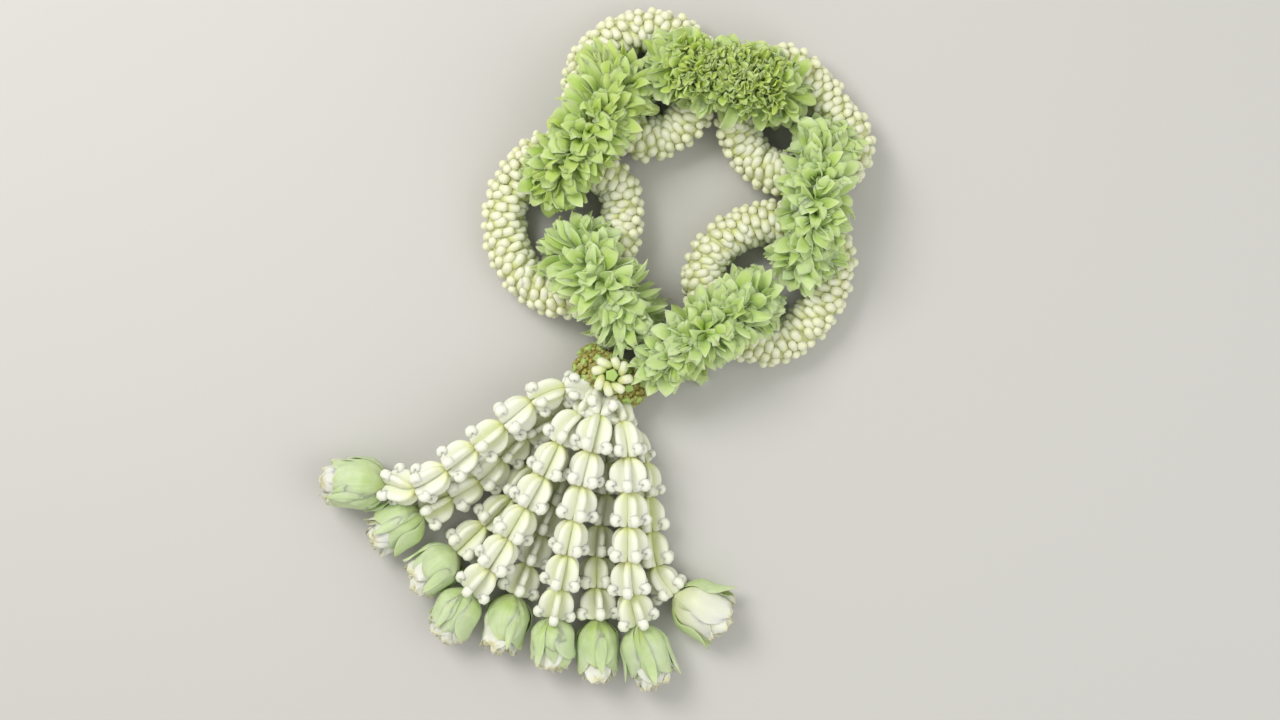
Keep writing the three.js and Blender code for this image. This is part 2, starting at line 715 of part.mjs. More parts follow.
function strand({ start, opening, ...rest }, seed) {
  const random = randomStream(seed);
  const route = strandRoute(rest);
  const length = route.getLength();
  const count = Math.round((length - start) / CORONA_PITCH);
  const pitch = (length - start) / count;
  const ringAt = (distance, radii, turn = 0) => {
    const share = Math.min(1, distance / length);
    const frame = { base: route.getPointAt(share), axis: UP, ...acrossPath(route.getTangentAt(share)) };
    return ringRound(frame, 0, radii, turn);
  };
  const thread = Array(2 * FINS).fill(THREAD_RADIUS);
  const rings = [ringAt(0, thread), ringAt(start - 1, thread)];
  for (let corona = 0; corona < count; corona++) {
    const radius = CORONA_RADIUS * (opening[corona] ?? 1);
    const turn = (random() - 0.5) * CORONA_TURN;
    for (const { along, fin, groove } of CORONA_OUTLINE) {
      const radii = lobedRadii(FINS, radius * fin, groove / fin);
      rings.push(ringAt(start + (corona + along) * pitch, radii, turn));
    }
  }
  return loft(rings, { ends: [route.getPointAt(0), route.getPointAt(1)] });
}

// Blooms

// The frame of a bloom: its base just past the end of its strand, its axis towards its tip.
function bloomFrame(strand) {
  const end = strandRoute(strand).getPointAt(1);
  const tip = new THREE.Vector3(...strand.bloomTip, BLOOM_TIP_HEIGHT);
  const axis = tip.clone().sub(end);
  const length = axis.length() - GAP;
  axis.normalize();
  const { side, up } = acrossPath(axis);
  return { base: at(end, axis, GAP), axis, side, up, length };
}

// A tepal from its root to its tip: how far along, and its distance out and its width as shares.
const TEPAL_OUTLINE = [
  { along: 0.34, out: 0.84, width: 0.86 },
  { along: 0.7, out: 0.96, width: 1 },
];

function bloomTepal(frame, degrees, { radius, tipRadius, width, reach }) {
  const angle = THREE.MathUtils.degToRad(degrees);
  const out = at(new THREE.Vector3(), frame.side, Math.cos(angle), frame.up, Math.sin(angle));
  const across = frame.axis.clone().cross(out);
  const waists = TEPAL_OUTLINE.map(({ along, out: share, width: part }) => ({
    middle: at(frame.base, frame.axis, frame.length * reach * along, out, radius * share),
    width: width * part,
    cup: width * part * TEPAL_CUP,
  }));
  return blade({
    root: at(frame.base, frame.axis, 2, out, 1),
    waists,
    tip: at(frame.base, frame.axis, frame.length * reach, out, tipRadius),
    across,
    face: out.clone().negate(),
    thickness: TEPAL_THICKNESS,
  });
}

// Two rounds of tepals, the outer ones shorter, and the narrow bracts that stand off them.
function bloomTepals(frame, spin, { bloomRadius: radius, bracts = [] }) {
  const rings = RECEPTACLE_OUTLINE.map(({ along, share }) =>
    ringRound(frame, along, Array(TEPALS).fill(RECEPTACLE_RADIUS * share)),
  );
  const ends = [frame.base, at(frame.base, frame.axis, RECEPTACLE_HEIGHT)];
  const receptacle = loft(rings, { ends });
  const tepals = Array.from({ length: TEPALS }, (_, k) => {
    const form = k % 2 === 0 ? OUTER_TEPAL : INNER_TEPAL;
    const turn = spin + (k * 360) / TEPALS;
    const width = radius * TEPAL_WIDTH_SHARE;
    return bloomTepal(frame, turn, { ...form, radius: radius - form.inset, width });
  });
  const standing = bracts.map((turn) => {
    const form = { radius: radius + 2, tipRadius: radius + 5, width: BRACT_WIDTH, reach: BRACT_REACH };
    return bloomTepal(frame, turn, form);
  });
  return join([receptacle, ...tepals, ...standing]).subtract(tableBlock());
}

const HEART_OUTLINE = [
  { along: 0.34, radius: 2.6 },
  { along: 0.56, radius: 5.4 },
  { along: 0.76, radius: 4.8 },
  { along: 0.9, radius: 2.8 },
];
const HEART_LOBES = 4;
const HEART_GROOVE = 0.78;
const HEART_TIP = 0.96; // share of the bloom's length

// The white inner petals, still folded together.
function bloomHeart(frame) {
  const rings = HEART_OUTLINE.map(({ along, radius }) =>
    ringRound(frame, along * frame.length, lobedRadii(HEART_LOBES, radius, HEART_GROOVE)),
  );
  const reaches = [RECEPTACLE_HEIGHT + GAP, frame.length * HEART_TIP];
  return loft(rings, { ends: reaches.map((along) => at(frame.base, frame.axis, along)) });
}

const garland = new THREE.Group();
const budThreads = budRingThreads();
budThreads.forEach((thread, index) => {
  garland.add(meshFrom(`bud_ring_${index + 1}`, budRing(thread), BUD_WHITE));
});

const obstacles = [
  ...budThreads.map((line) => ({ line, radius: BUD_RING_RADIUS })),
  { line: [rosetteFloor()], radius: ROSETTE.radius + ROSETTE.budLength / 2 + GAP },
  { line: tiePlaces().map((place) => place.centre), radius: TIE.halfDepth },
  ...tiedLegs().map((leg) => ({ line: pointsBetween(tieFront(), leg), radius: 3 * THREAD_RADIUS })),
];
const petalThreads = LINKS.map(petalRingThread);
LINKS.forEach((link, index) => {
  const neighbours = petalThreads.filter((_, other) => other !== index);
  const isFree = (point) => {
    const own = distanceTo(petalThreads[index], point);
    return (
      obstacles.every(({ line, radius }) => distanceTo(line, point) > radius + PETAL_CLEARANCE) &&
      neighbours.every((line) => distanceTo(line, point) > own + PETAL_CLEARANCE)
    );
  };
  garland.add(meshFrom(`petal_ring_${index + 1}`, petalRing(link, 11 + index, isFree), PETAL_GREEN));
});

garland.add(meshFrom("tie_band", tieBand(), TIE_OLIVE));
garland.add(meshFrom("binding_threads", bindingThreads(), THREAD_TAN));
garland.add(meshFrom("rosette_buds", rosetteBuds(), BUD_WHITE));
garland.add(meshFrom("rosette_centre", rosetteCentre(), PETAL_GREEN));
STRANDS.forEach((item, index) => {
  garland.add(meshFrom(`strand_${index + 1}`, strand(item, 31 + index), CORONA_WHITE));
  const frame = bloomFrame(item);
  const turn = (index % 2) * BLOOM_TURN;
  garland.add(meshFrom(`bloom_${index + 1}_tepals`, bloomTepals(frame, turn, item), TEPAL_GREEN));
  garland.add(meshFrom(`bloom_${index + 1}_heart`, bloomHeart(frame), BUD_WHITE));
});

export default garland;
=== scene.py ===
from math import pi, radians

import bpy
import numpy as np
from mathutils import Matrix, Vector


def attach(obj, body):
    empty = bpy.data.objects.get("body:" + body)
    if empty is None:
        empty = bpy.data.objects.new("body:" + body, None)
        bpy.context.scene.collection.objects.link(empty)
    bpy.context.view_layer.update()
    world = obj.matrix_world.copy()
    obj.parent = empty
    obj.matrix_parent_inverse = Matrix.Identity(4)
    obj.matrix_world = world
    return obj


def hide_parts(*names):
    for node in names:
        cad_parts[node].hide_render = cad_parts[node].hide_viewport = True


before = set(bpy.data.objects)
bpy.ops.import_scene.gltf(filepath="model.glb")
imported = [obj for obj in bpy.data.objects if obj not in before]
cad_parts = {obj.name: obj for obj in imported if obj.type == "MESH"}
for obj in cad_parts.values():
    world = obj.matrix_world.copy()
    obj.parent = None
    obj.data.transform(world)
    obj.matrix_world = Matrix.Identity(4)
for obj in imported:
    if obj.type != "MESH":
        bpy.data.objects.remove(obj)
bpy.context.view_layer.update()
print("frame loaded")

# Lengths in this file are millimetres until a mesh or an object is made from them.
metresPerMillimetre = 0.001
upward = np.array([0.0, 0.0, 1.0])

# ---- Vectors and curves


def unit(vectors):
    return vectors / np.linalg.norm(vectors, axis=-1, keepdims=True)


def heading(angle):
    turn = np.radians(angle)
    return np.array([np.cos(turn), np.sin(turn), 0.0])


def turned(vectors, axes, angles):
    # Rodrigues: v cos a + (k x v) sin a + k (k . v)(1 - cos a)
    cosine, sine = np.cos(angles)[..., None], np.sin(angles)[..., None]
    along = (axes * vectors).sum(-1, keepdims=True)
    return vectors * cosine + np.cross(axes, vectors) * sine + axes * along * (1 - cosine)


def acrossPath(tangents):
    side = unit(np.cross(upward, tangents))
    return side, np.cross(tangents, side)


def smoothCurve(points, closed, steps=40):
    # Centripetal Catmull-Rom through the points: a cubic on each stretch, whose end slopes are
    # weighted by the square roots of the stretches' lengths.
    points = np.asarray(points, float)
    if closed:
        ring = np.concatenate([points[-1:], points, points[:2]])
    else:
        ring = np.concatenate([2 * points[:1] - points[1:2], points, 2 * points[-1:] - points[-2:-1]])
    a, b, c, d = (ring[i : len(ring) - 3 + i] for i in range(4))
    gaps = [np.sqrt(np.linalg.norm(q - p, axis=1))[:, None] for p, q in ((a, b), (b, c), (c, d))]
    first = ((b - a) / gaps[0] - (c - a) / (gaps[0] + gaps[1]) + (c - b) / gaps[1]) * gaps[1]
    last = ((c - b) / gaps[1] - (d - b) / (gaps[1] + gaps[2]) + (d - c) / gaps[2]) * gaps[1]
    t = np.arange(steps)[None, :, None] / steps
    cubic = (
        b[:, None]
        + first[:, None] * t
        + (-3 * b + 3 * c - 2 * first - last)[:, None] * t**2
        + (2 * b - 2 * c + first + last)[:, None] * t**3
    )
    dense = cubic.reshape(-1, points.shape[1])
    return np.concatenate([dense, points[:1] if closed else points[-1:]])


def lengthsAlong(dense):
    return np.concatenate([[0.0], np.cumsum(np.linalg.norm(np.diff(dense, axis=0), axis=1))])


def pointsAlong(dense, distances):
    # Short of the start and past the end the curve runs straight on.
    lengths = lengthsAlong(dense)
    points = np.stack([np.interp(distances, lengths, axis) for axis in dense.T], axis=-1)
    before = np.minimum(distances, 0)[..., None] * unit(dense[1] - dense[0])
    beyond = np.maximum(distances - lengths[-1], 0)[..., None] * unit(dense[-1] - dense[-2])
    return points + before + beyond


def evenLoop(dense, count):
    return pointsAlong(dense, np.arange(count) * lengthsAlong(dense)[-1] / count)


# ---- Meshes from lofts


def loftFaces(count, rows, around):
    # Quads between neighbouring rows of points, and a fan at each end round a pole.
    here = np.arange(around)
    after = (here + 1) % around
    row = np.arange(rows - 1)[:, None] * around
    quads = np.stack([row + here, row + after, row + around + after, row + around + here], -1)
    poles = rows * around
    lastRow = (rows - 1) * around
    fans = np.concatenate(
        [
            np.stack([np.full(around, poles), after, here], -1),
            np.stack([np.full(around, poles + 1), lastRow + here, lastRow + after], -1),
        ]
    )
    shift = np.arange(count)[:, None, None] * (poles + 2)
    return (quads.reshape(-1, 4) + shift).reshape(-1, 4), (fans + shift).reshape(-1, 3)


def loftPart(rings, poles, traits):
    # rings: (count, rows, around, 3); poles: (count, 2, 3); a trait: (count, rows, around), and
    # its poles take the mean of the nearest row.
    count, rows, around = rings.shape[:3]
    quads, fans = loftFaces(count, rows, around)
    values = {}
    for name, trait in traits.items():
        full = np.broadcast_to(trait, (count, rows, around))
        ends = np.stack([full[:, 0].mean(-1), full[:, -1].mean(-1)], -1)
        values[name] = np.concatenate([full.reshape(count, -1), ends], 1).ravel()
    points = np.concatenate([rings.reshape(count, -1, 3), poles], 1).reshape(-1, 3)
    return {"points": points, "quads": quads, "fans": fans, "traits": values}


def loopPart(rings, traits):
    # A closed tube: the last row joins the first. rings: (rows, around, 3)
    rows, around = rings.shape[:2]
    here = np.arange(around)
    after = (here + 1) % around
    row = np.arange(rows)[:, None] * around
    following = (row + around) % (rows * around)
    quads = np.stack([row + here, row + after, following + after, following + here], -1)
    values = {name: np.broadcast_to(trait, (rows, around)).ravel() for name, trait in traits.items()}
    return {
        "points": rings.reshape(-1, 3),
        "quads": quads.reshape(-1, 4),
        "fans": np.zeros((0, 3), int),
        "traits": values,
    }


traitNames = ("grow", "across", "tint", "groove")
tableGap = 0.15


rimAngle = 62.0  # degrees; crisp pieces keep sharp rims, so that no dark line shades them


def addPiece(name, parts, material, replaced=(), crisp=False):
    starts = np.cumsum([0] + [len(part["points"]) for part in parts[:-1]])
    points = np.concatenate([part["points"] for part in parts])
    # What would sink into the table is pressed flat on it.
    points[:, 2] = np.maximum(points[:, 2], tableGap)
    points = points * metresPerMillimetre
    quads = np.concatenate([part["quads"] + start for part, start in zip(parts, starts)])
    fans = np.concatenate([part["fans"] + start for part, start in zip(parts, starts)])
    corners = np.concatenate([quads.ravel(), fans.ravel()]).astype(np.int32)
    sizes = np.concatenate([np.full(len(quads), 4), np.full(len(fans), 3)])
    mesh = bpy.data.meshes.new(name)
    mesh.vertices.add(len(points))
    mesh.vertices.foreach_set("co", points.astype(np.float32).ravel())
    mesh.loops.add(len(corners))
    mesh.loops.foreach_set("vertex_index", corners)
    mesh.polygons.add(len(sizes))
    starting = np.concatenate([[0], np.cumsum(sizes)[:-1]]).astype(np.int32)
    mesh.polygons.foreach_set("loop_start", starting)
    mesh.update(calc_edges=True)
    mesh.polygons.foreach_set("use_smooth", np.ones(len(sizes), bool))
    if crisp:
        # The rims of thin petals stay sharp, so that no dark line shades them.
        mesh.set_sharp_from_angle(angle=radians(rimAngle))
    for trait in traitNames:
        values = [part["traits"].get(trait, np.zeros(len(part["points"]))) for part in parts]
        layer = mesh.attributes.new(trait, "FLOAT", "POINT")
        layer.data.foreach_set("value", np.concatenate(values).astype(np.float32))
    mesh.validate()
    mesh.materials.append(material)
    piece = bpy.data.objects.new(name, mesh)
    bpy.context.scene.collection.objects.link(piece)
    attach(piece, "root")
    if replaced:
        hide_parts(*replaced)
    return piece


# ---- Plant materials


def addNode(tree, kind, settings=None, inputs=None):
    node = tree.nodes.new(kind)
    for key, value in (settings or {}).items():
        setattr(node, key, value)
    for key, value in (inputs or {}).items():
        socket = node.inputs[key]
        if isinstance(value, bpy.types.NodeSocket):
            tree.links.new(value, socket)
        else:
            socket.default_value = value
    return node


def mixColours(tree, factor, first, second, blend="MIX"):
    node = addNode(tree, "ShaderNodeMix", {"data_type": "RGBA", "blend_type": blend}, {0: factor})
    for index, value in ((6, first), (7, second)):
        if isinstance(value, bpy.types.NodeSocket):
            tree.links.new(value, node.inputs[index])
        else:
            node.inputs[index].default_value = (*value, 1.0)
    return node.outputs[2]


def calculate(tree, operation, first, second=0.0):
    node = addNode(tree, "ShaderNodeMath", {"operation": operation}, {0: first, 1: second})
    return node.outputs[0]


def plantMaterial(name, look):
    # The colour runs from root to tip, then towards the edges, each flower's own tint, its
    # grooves, fine lengthwise veins and soft blotches are laid over it. In the petals the darker
    # root end of the ramp is painted shade, and in the buds and coronas it is partly painted
    # shade. The coronas' groove colour and their lower row's tint are painted shade too.
    material = bpy.data.materials.new(name)
    material.use_nodes = True
    tree = material.node_tree
    shader = tree.nodes["Principled BSDF"]
    grow, across, tint, groove = (
        addNode(tree, "ShaderNodeAttribute", {"attribute_name": trait}).outputs["Fac"] for trait in traitNames
    )
    ramp = addNode(tree, "ShaderNodeValToRGB", None, {0: grow})
    stops = ramp.color_ramp.elements
    while len(stops) < len(look["stops"]):
        stops.new(0.5)
    for stop, (place, colour) in zip(stops, look["stops"]):
        stop.position = place
        stop.color = (*colour, 1.0)
    edge = calculate(tree, "POWER", calculate(tree, "ABSOLUTE", across), look.get("edgePower", 3.0))
    edge = calculate(tree, "MULTIPLY", edge, look.get("edgeShare", 0.0))
    colour = mixColours(tree, edge, ramp.outputs[0], look.get("edgeColour", (1, 1, 1)))
    tinted = calculate(tree, "MULTIPLY", tint, look.get("tintShare", 0.3))
    colour = mixColours(tree, tinted, colour, look.get("tintColour", (1, 1, 1)))
    grooved = calculate(tree, "MULTIPLY", groove, look.get("grooveShare", 0.0))
    colour = mixColours(tree, grooved, colour, look.get("grooveColour", (1, 1, 1)))
    lengthwise = addNode(
        tree,
        "ShaderNodeCombineXYZ",
        None,
        {
            0: calculate(tree, "MULTIPLY", across, look.get("veinsAcross", 9.0)),
            1: calculate(tree, "MULTIPLY", grow, 1.6),
            2: calculate(tree, "MULTIPLY", tint, 40.0),
        },
    )
    veins = addNode(
        tree, "ShaderNodeTexNoise", None, {"Vector": lengthwise.outputs[0], "Scale": 1.0, "Detail": 3.0}
    )
    place = addNode(tree, "ShaderNodeTexCoord").outputs["Object"]
    blotches = addNode(
        tree,
        "ShaderNodeTexNoise",
        None,
        {"Vector": place, "Scale": look.get("blotchScale", 260.0), "Detail": 4.0},
    )
    grain = addNode(tree, "ShaderNodeTexNoise", None, {"Vector": place, "Scale": 1900.0, "Detail": 2.0})
    veinShade = addNode(
        tree,
        "ShaderNodeMapRange",
        None,
        {0: veins.outputs["Fac"], 1: 0.35, 2: 0.7, 3: 0.0, 4: look.get("veinShare", 0.25)},
    )
    veinColour = look.get("veinColour", (0.5, 0.6, 0.3))
    colour = mixColours(tree, veinShade.outputs[0], colour, veinColour, "MULTIPLY")
    blotchShade = addNode(
        tree,
        "ShaderNodeMapRange",
        None,
        {0: blotches.outputs["Fac"], 1: 0.4, 2: 0.75, 3: 0.0, 4: look.get("blotchShare", 0.25)},
    )
    colour = mixColours(tree, blotchShade.outputs[0], colour, look.get("blotchColour", (0.6, 0.7, 0.4)))
    height = calculate(
        tree,
        "ADD",
        calculate(tree, "MULTIPLY", veins.outputs["Fac"], look.get("veinRelief", 0.7)),
        calculate(tree, "MULTIPLY", grain.outputs["Fac"], look.get("grainRelief", 0.3)),
    )
    bump = addNode(
        tree,
        "ShaderNodeBump",
        None,
        {"Strength": look.get("bump", 0.35), "Distance": 0.0004, "Height": height},
    )
    tree.links.new(colour, shader.inputs["Base Color"])
    tree.links.new(bump.outputs[0], shader.inputs["Normal"])
    shader.inputs["Roughness"].default_value = look.get("roughness", 0.45)
    shader.inputs["Specular IOR Level"].default_value = look.get("specular", 0.4)
    shader.inputs["Subsurface Weight"].default_value = look.get("scatter", 0.2)
    shader.inputs["Subsurface Radius"].default_value = look.get("scatterRadius", (0.9, 1.0, 0.45))
    shader.inputs["Subsurface Scale"].default_value = look.get("scatterDepth", 0.0025)
    return material


# Yellow-green at the base, partly the buds' own colour and partly painted warm shade between the buds; creamy
# towards the tip.
budLook = {
    "stops": [
        (0.0, (0.46, 0.5, 0.12)),
        (0.3, (0.6, 0.64, 0.26)),
        (0.5, (0.78, 0.81, 0.58)),
        (0.75, (0.82, 0.83, 0.69)),
        (1.0, (0.8, 0.81, 0.6)),
    ],
    "tintColour": (0.72, 0.75, 0.46),
    "tintShare": 0.35,
    "edgeColour": (0.66, 0.69, 0.4),
    "edgeShare": 0.3,
    "edgePower": 2.5,
    "veinsAcross": 3.0,
    "veinShare": 0.12,
    "veinColour": (0.8, 0.85, 0.6),
    "blotchColour": (0.8, 0.78, 0.5),
    "blotchShare": 0.2,
    "roughness": 0.45,
    "scatter": 0.5,
    "scatterRadius": (1.0, 0.95, 0.6),
}
# Dark at the root, painted shade deep in the ring; pale at the tip, partly the petals' own colour and partly
# a painted highlight on their upper faces.
petalLook = {
    "stops": [
        (0.0, (0.26, 0.38, 0.04)),
        (0.3, (0.33, 0.49, 0.07)),
        (0.58, (0.41, 0.59, 0.13)),
        (0.8, (0.55, 0.72, 0.28)),
        (1.0, (0.71, 0.82, 0.49)),
    ],
    "edgeColour": (0.65, 0.78, 0.44),
    "edgeShare": 0.65,
    "edgePower": 3.0,
    "tintColour": (0.62, 0.77, 0.45),
    "tintShare": 0.62,
    "grooveColour": (0.42, 0.54, 0.08),
    "grooveShare": 0.85,
    "veinsAcross": 7.0,
    "veinShare": 0.3,
    "veinColour": (0.66, 0.8, 0.42),
    "blotchColour": (0.46, 0.6, 0.13),
    "blotchShare": 0.3,
    "blotchScale": 170.0,
    "roughness": 0.5,
    "specular": 0.3,
    "scatter": 0.6,
}
tieLook = {
    "stops": [
        (0.0, (0.12, 0.1, 0.015)),
        (0.5, (0.3, 0.27, 0.04)),
        (0.85, (0.48, 0.44, 0.1)),
        (1.0, (0.52, 0.5, 0.14)),
    ],
    "tintColour": (0.26, 0.2, 0.03),
    "tintShare": 0.75,
    "grooveColour": (0.42, 0.6, 0.16),
    "grooveShare": 0.92,
    "veinShare": 0.3,
    "roughness": 0.5,
    "scatter": 0.1,
}
# Olive at the hub, partly the coronas' own colour and partly painted shade under the corona before. The
# groove colour is painted shade in the grooves between the fins. The tint colour is both a random tone and
# the painted shade on the lower row of strands.
coronaLook = {
    "stops": [
        (0.0, (0.36, 0.36, 0.06)),
        (0.03, (0.56, 0.58, 0.22)),
        (0.1, (0.76, 0.79, 0.52)),
        (0.28, (0.83, 0.845, 0.74)),
        (1.0, (0.84, 0.85, 0.77)),
    ],
    "tintColour": (0.7, 0.75, 0.4),
    "tintShare": 0.22,
    "grooveColour": (0.58, 0.66, 0.18),
    "grooveShare": 0.9,
    "veinsAcross": 12.0,
    "veinShare": 0.15,
    "veinColour": (0.82, 0.85, 0.68),
    "blotchColour": (0.84, 0.86, 0.68),
    "blotchShare": 0.3,
    "scatterRadius": (1.0, 1.0, 0.8),
    "roughness": 0.42,
    "specular": 0.3,
    "scatter": 0.5,
}
tepalLook = {
    "stops": [
        (0.0, (0.34, 0.44, 0.07)),
        (0.15, (0.42, 0.56, 0.16)),
        (0.45, (0.49, 0.63, 0.3)),
        (0.85, (0.53, 0.66, 0.36)),
        (1.0, (0.52, 0.6, 0.3)),
    ],
    "edgeColour": (0.6, 0.71, 0.4),
    "edgeShare": 0.5,
    "edgePower": 8.0,
    "tintColour": (0.62, 0.73, 0.48),
    "tintShare": 0.6,
    "grooveColour": (0.42, 0.58, 0.16),
    "grooveShare": 0.5,
    "veinsAcross": 14.0,
    "veinShare": 0.4,
    "veinColour": (0.7, 0.84, 0.5),
    "blotchColour": (0.74, 0.82, 0.58),
    "blotchShare": 0.4,
    "blotchScale": 150.0,
    "roughness": 0.5,
    "specular": 0.3,
    "scatter": 0.5,
    "bump": 0.4,
}
heartLook = {
    "stops": [
        (0.0, (0.56, 0.64, 0.26)),
        (0.4, (0.76, 0.8, 0.58)),
        (0.9, (0.84, 0.86, 0.74)),
        (0.975, (0.74, 0.71, 0.44)),
        (1.0, (0.54, 0.47, 0.2)),
    ],
    "tintColour": (0.8, 0.85, 0.66),
    "tintShare": 0.3,
    "veinsAcross": 12.0,
    "veinShare": 0.2,
    "veinColour": (0.8, 0.86, 0.66),
    "blotchShare": 0.15,
    "blotchColour": (0.8, 0.84, 0.6),
    "scatter": 0.45,
}
threadLook = {
    "stops": [(0.0, (0.62, 0.55, 0.35)), (1.0, (0.62, 0.55, 0.35))],
    "tintColour": (0.4, 0.4, 0.2),
    "tintShare": 0.4,
    "roughness": 0.8,
    "scatter": 0.05,
    "bump": 0.6,
}
budMaterial = plantMaterial("whiteBuds", budLook)
petalMaterial = plantMaterial("greenPetals", petalLook)
tieMaterial = plantMaterial("oliveBuds", tieLook)
coronaMaterial = plantMaterial("coronas", coronaLook)
tepalMaterial = plantMaterial("tepals", tepalLook)
heartMaterial = plantMaterial("hearts", heartLook)
threadMaterial = plantMaterial("thread", threadLook)
print("materials made")

# ---- The garland's layout, as in the solids

links = [
    {"middle": (4.5, 31.5), "heading": -57.8, "halfLength": 22, "tubes": (-3.5,), "tiedEnd": 1},
    {"middle": (-2.4, 102.8), "heading": 52.8, "halfLength": 28.3},
    {"middle": (62.4, 128.4), "heading": -13.1, "halfLength": 28.3},
    {"middle": (104.3, 71), "heading": 80.8, "halfLength": 28.3},
    {"middle": (54.5, 9.2), "heading": 35, "halfLength": 26.5, "tubes": (6.5,), "tiedEnd": -1},
]
budRingOutlines = [
    [(-9.1, 94.1), (8.6, 83.5), (13, 64.8), (5.3, 40.3)]
    + [(-15.8, 25.4), (-36.5, 38.4), (-44.2, 64.8), (-34.1, 87.4)],
    [(4.3, 111.4), (-5.8, 128.6), (2.4, 145.4), (23, 154.6)]
    + [(42.7, 149.3), (51.4, 131.5), (45.6, 112.8), (26.4, 101.8)],
    [(68.2, 110.4), (73.3, 126.2), (86.4, 136.8), (105.6, 127.2)]
    + [(118.3, 105.6), (115.2, 88.3), (98.4, 82.6), (79.2, 89.8)],
    [(101.3, 59.5), (114.2, 44.2), (108, 20.2), (86.4, 2.9)]
    + [(61.9, 11.5), (51.8, 31.7), (58.1, 49.4), (79.7, 61.4)],
]
ringSize = {
    "budReach": 10.7,
    "core": 4.4,
    "archHeight": 35.0,
    "gap": 0.3,
    "sagReach": 23.0,
    "layerPitch": 6.3,
}
coreFlat = ringSize["core"] * np.cos(pi / 6)
archBend = (ringSize["archHeight"] - coreFlat) / 2


def pointsOnLink(link, distances):
    middle = np.array([*link["middle"], 0.0])
    return middle + np.asarray(distances)[:, None] * heading(link["heading"])


def giveWay(points, other, clearance):
    away = points - other
    distance = np.linalg.norm(away, axis=1, keepdims=True)
    return np.where(distance < clearance, other + away / distance * clearance, points)


def budRingThreads():
    halfGap = ringSize["budReach"] + 0.5
    crossings = np.concatenate([pointsOnLink(link, link.get("tubes", (-halfGap, halfGap))) for link in links])
    legs = np.concatenate([pointsOnLink(link, (-link["halfLength"], link["halfLength"])) for link in links])
    threads = []
    for outline in budRingOutlines:
        dense = smoothCurve([(x, y, 0.0) for x, y in outline], True)
        layers = 2 * round(lengthsAlong(dense)[-1] / ringSize["layerPitch"] / 2)
        threads.append(evenLoop(dense, layers))
    for settling in range(6):
        for index, thread in enumerate(threads):
            others = np.concatenate(threads[:index] + threads[index + 1 :])
            for leg in legs:
                thread = giveWay(thread, leg, ringSize["budReach"] + ringSize["core"] + 2 * ringSize["gap"])
            for other in others:
                thread = giveWay(thread, other, 2 * ringSize["budReach"] + 2 * ringSize["gap"])
            threads[index] = thread
    restHeight = ringSize["budReach"] + ringSize["gap"]
    crossingHeight = (ringSize["archHeight"] + coreFlat) / 2
    for thread in threads:
        nearest = np.linalg.norm(thread[:, None] - crossings, axis=2).min(1)
        lift = np.exp(-((nearest / ringSize["sagReach"]) ** 2))
        thread[:, 2] = restHeight + (crossingHeight - restHeight) * lift
    return [smoothCurve(thread, True, 12) for thread in threads]


budThreads = budRingThreads()

# ---- Bud rings

budRing = {
    "pitch": 4.15,  # between layers along the thread
    "round": 8,
    "root": 7.3,
    "length": 9.0,
    "radius": 2.35,
    "sweep": 100.0,  # degrees by which buds lean round the ring
    "axialLean": 8.0,
    "coreRadius": 8.1,
}
budRows = np.array([0.05, 0.2, 0.42, 0.66, 0.86, 0.965])
budRadii = np.array([0.52, 0.86, 1.0, 1.0, 0.91, 0.58])
budAround = 8


def buds(roots, directions, across, lengths, radii, tints):
    # Bodies of revolution with a narrow neck: radius by budRadii at budRows of the length.
    face = np.cross(directions, across)
    angle = np.arange(budAround) * 2 * pi / budAround
    centres = roots[:, None] + directions[:, None] * (budRows * lengths[:, None])[..., None]
    reach = (budRadii * radii[:, None])[..., None]
    rings = (
        centres[:, :, None]
        + across[:, None, None] * (reach * np.cos(angle))[..., None]
        + face[:, None, None] * (reach * np.sin(angle))[..., None]
    )
    tips = roots + directions * lengths[:, None]
    traits = {
        "grow": budRows[None, :, None],
        "across": np.sin(angle)[None, None],
        "tint": tints[:, None, None],
    }
    return loftPart(rings, np.stack([roots, tips], 1), traits)


def coreTube(dense, radius, count, around=12):
    centres = evenLoop(dense, count)
    tangents = unit(np.roll(centres, -1, 0) - np.roll(centres, 1, 0))
    side, up = acrossPath(tangents)
    angle = np.arange(around) * 2 * pi / around
    rings = (
        centres[:, None]
        + side[:, None] * (radius * np.cos(angle))[None, :, None]
        + up[:, None] * (radius * np.sin(angle))[None, :, None]
    )
    return loopPart(rings, {"grow": np.array(0.33)})


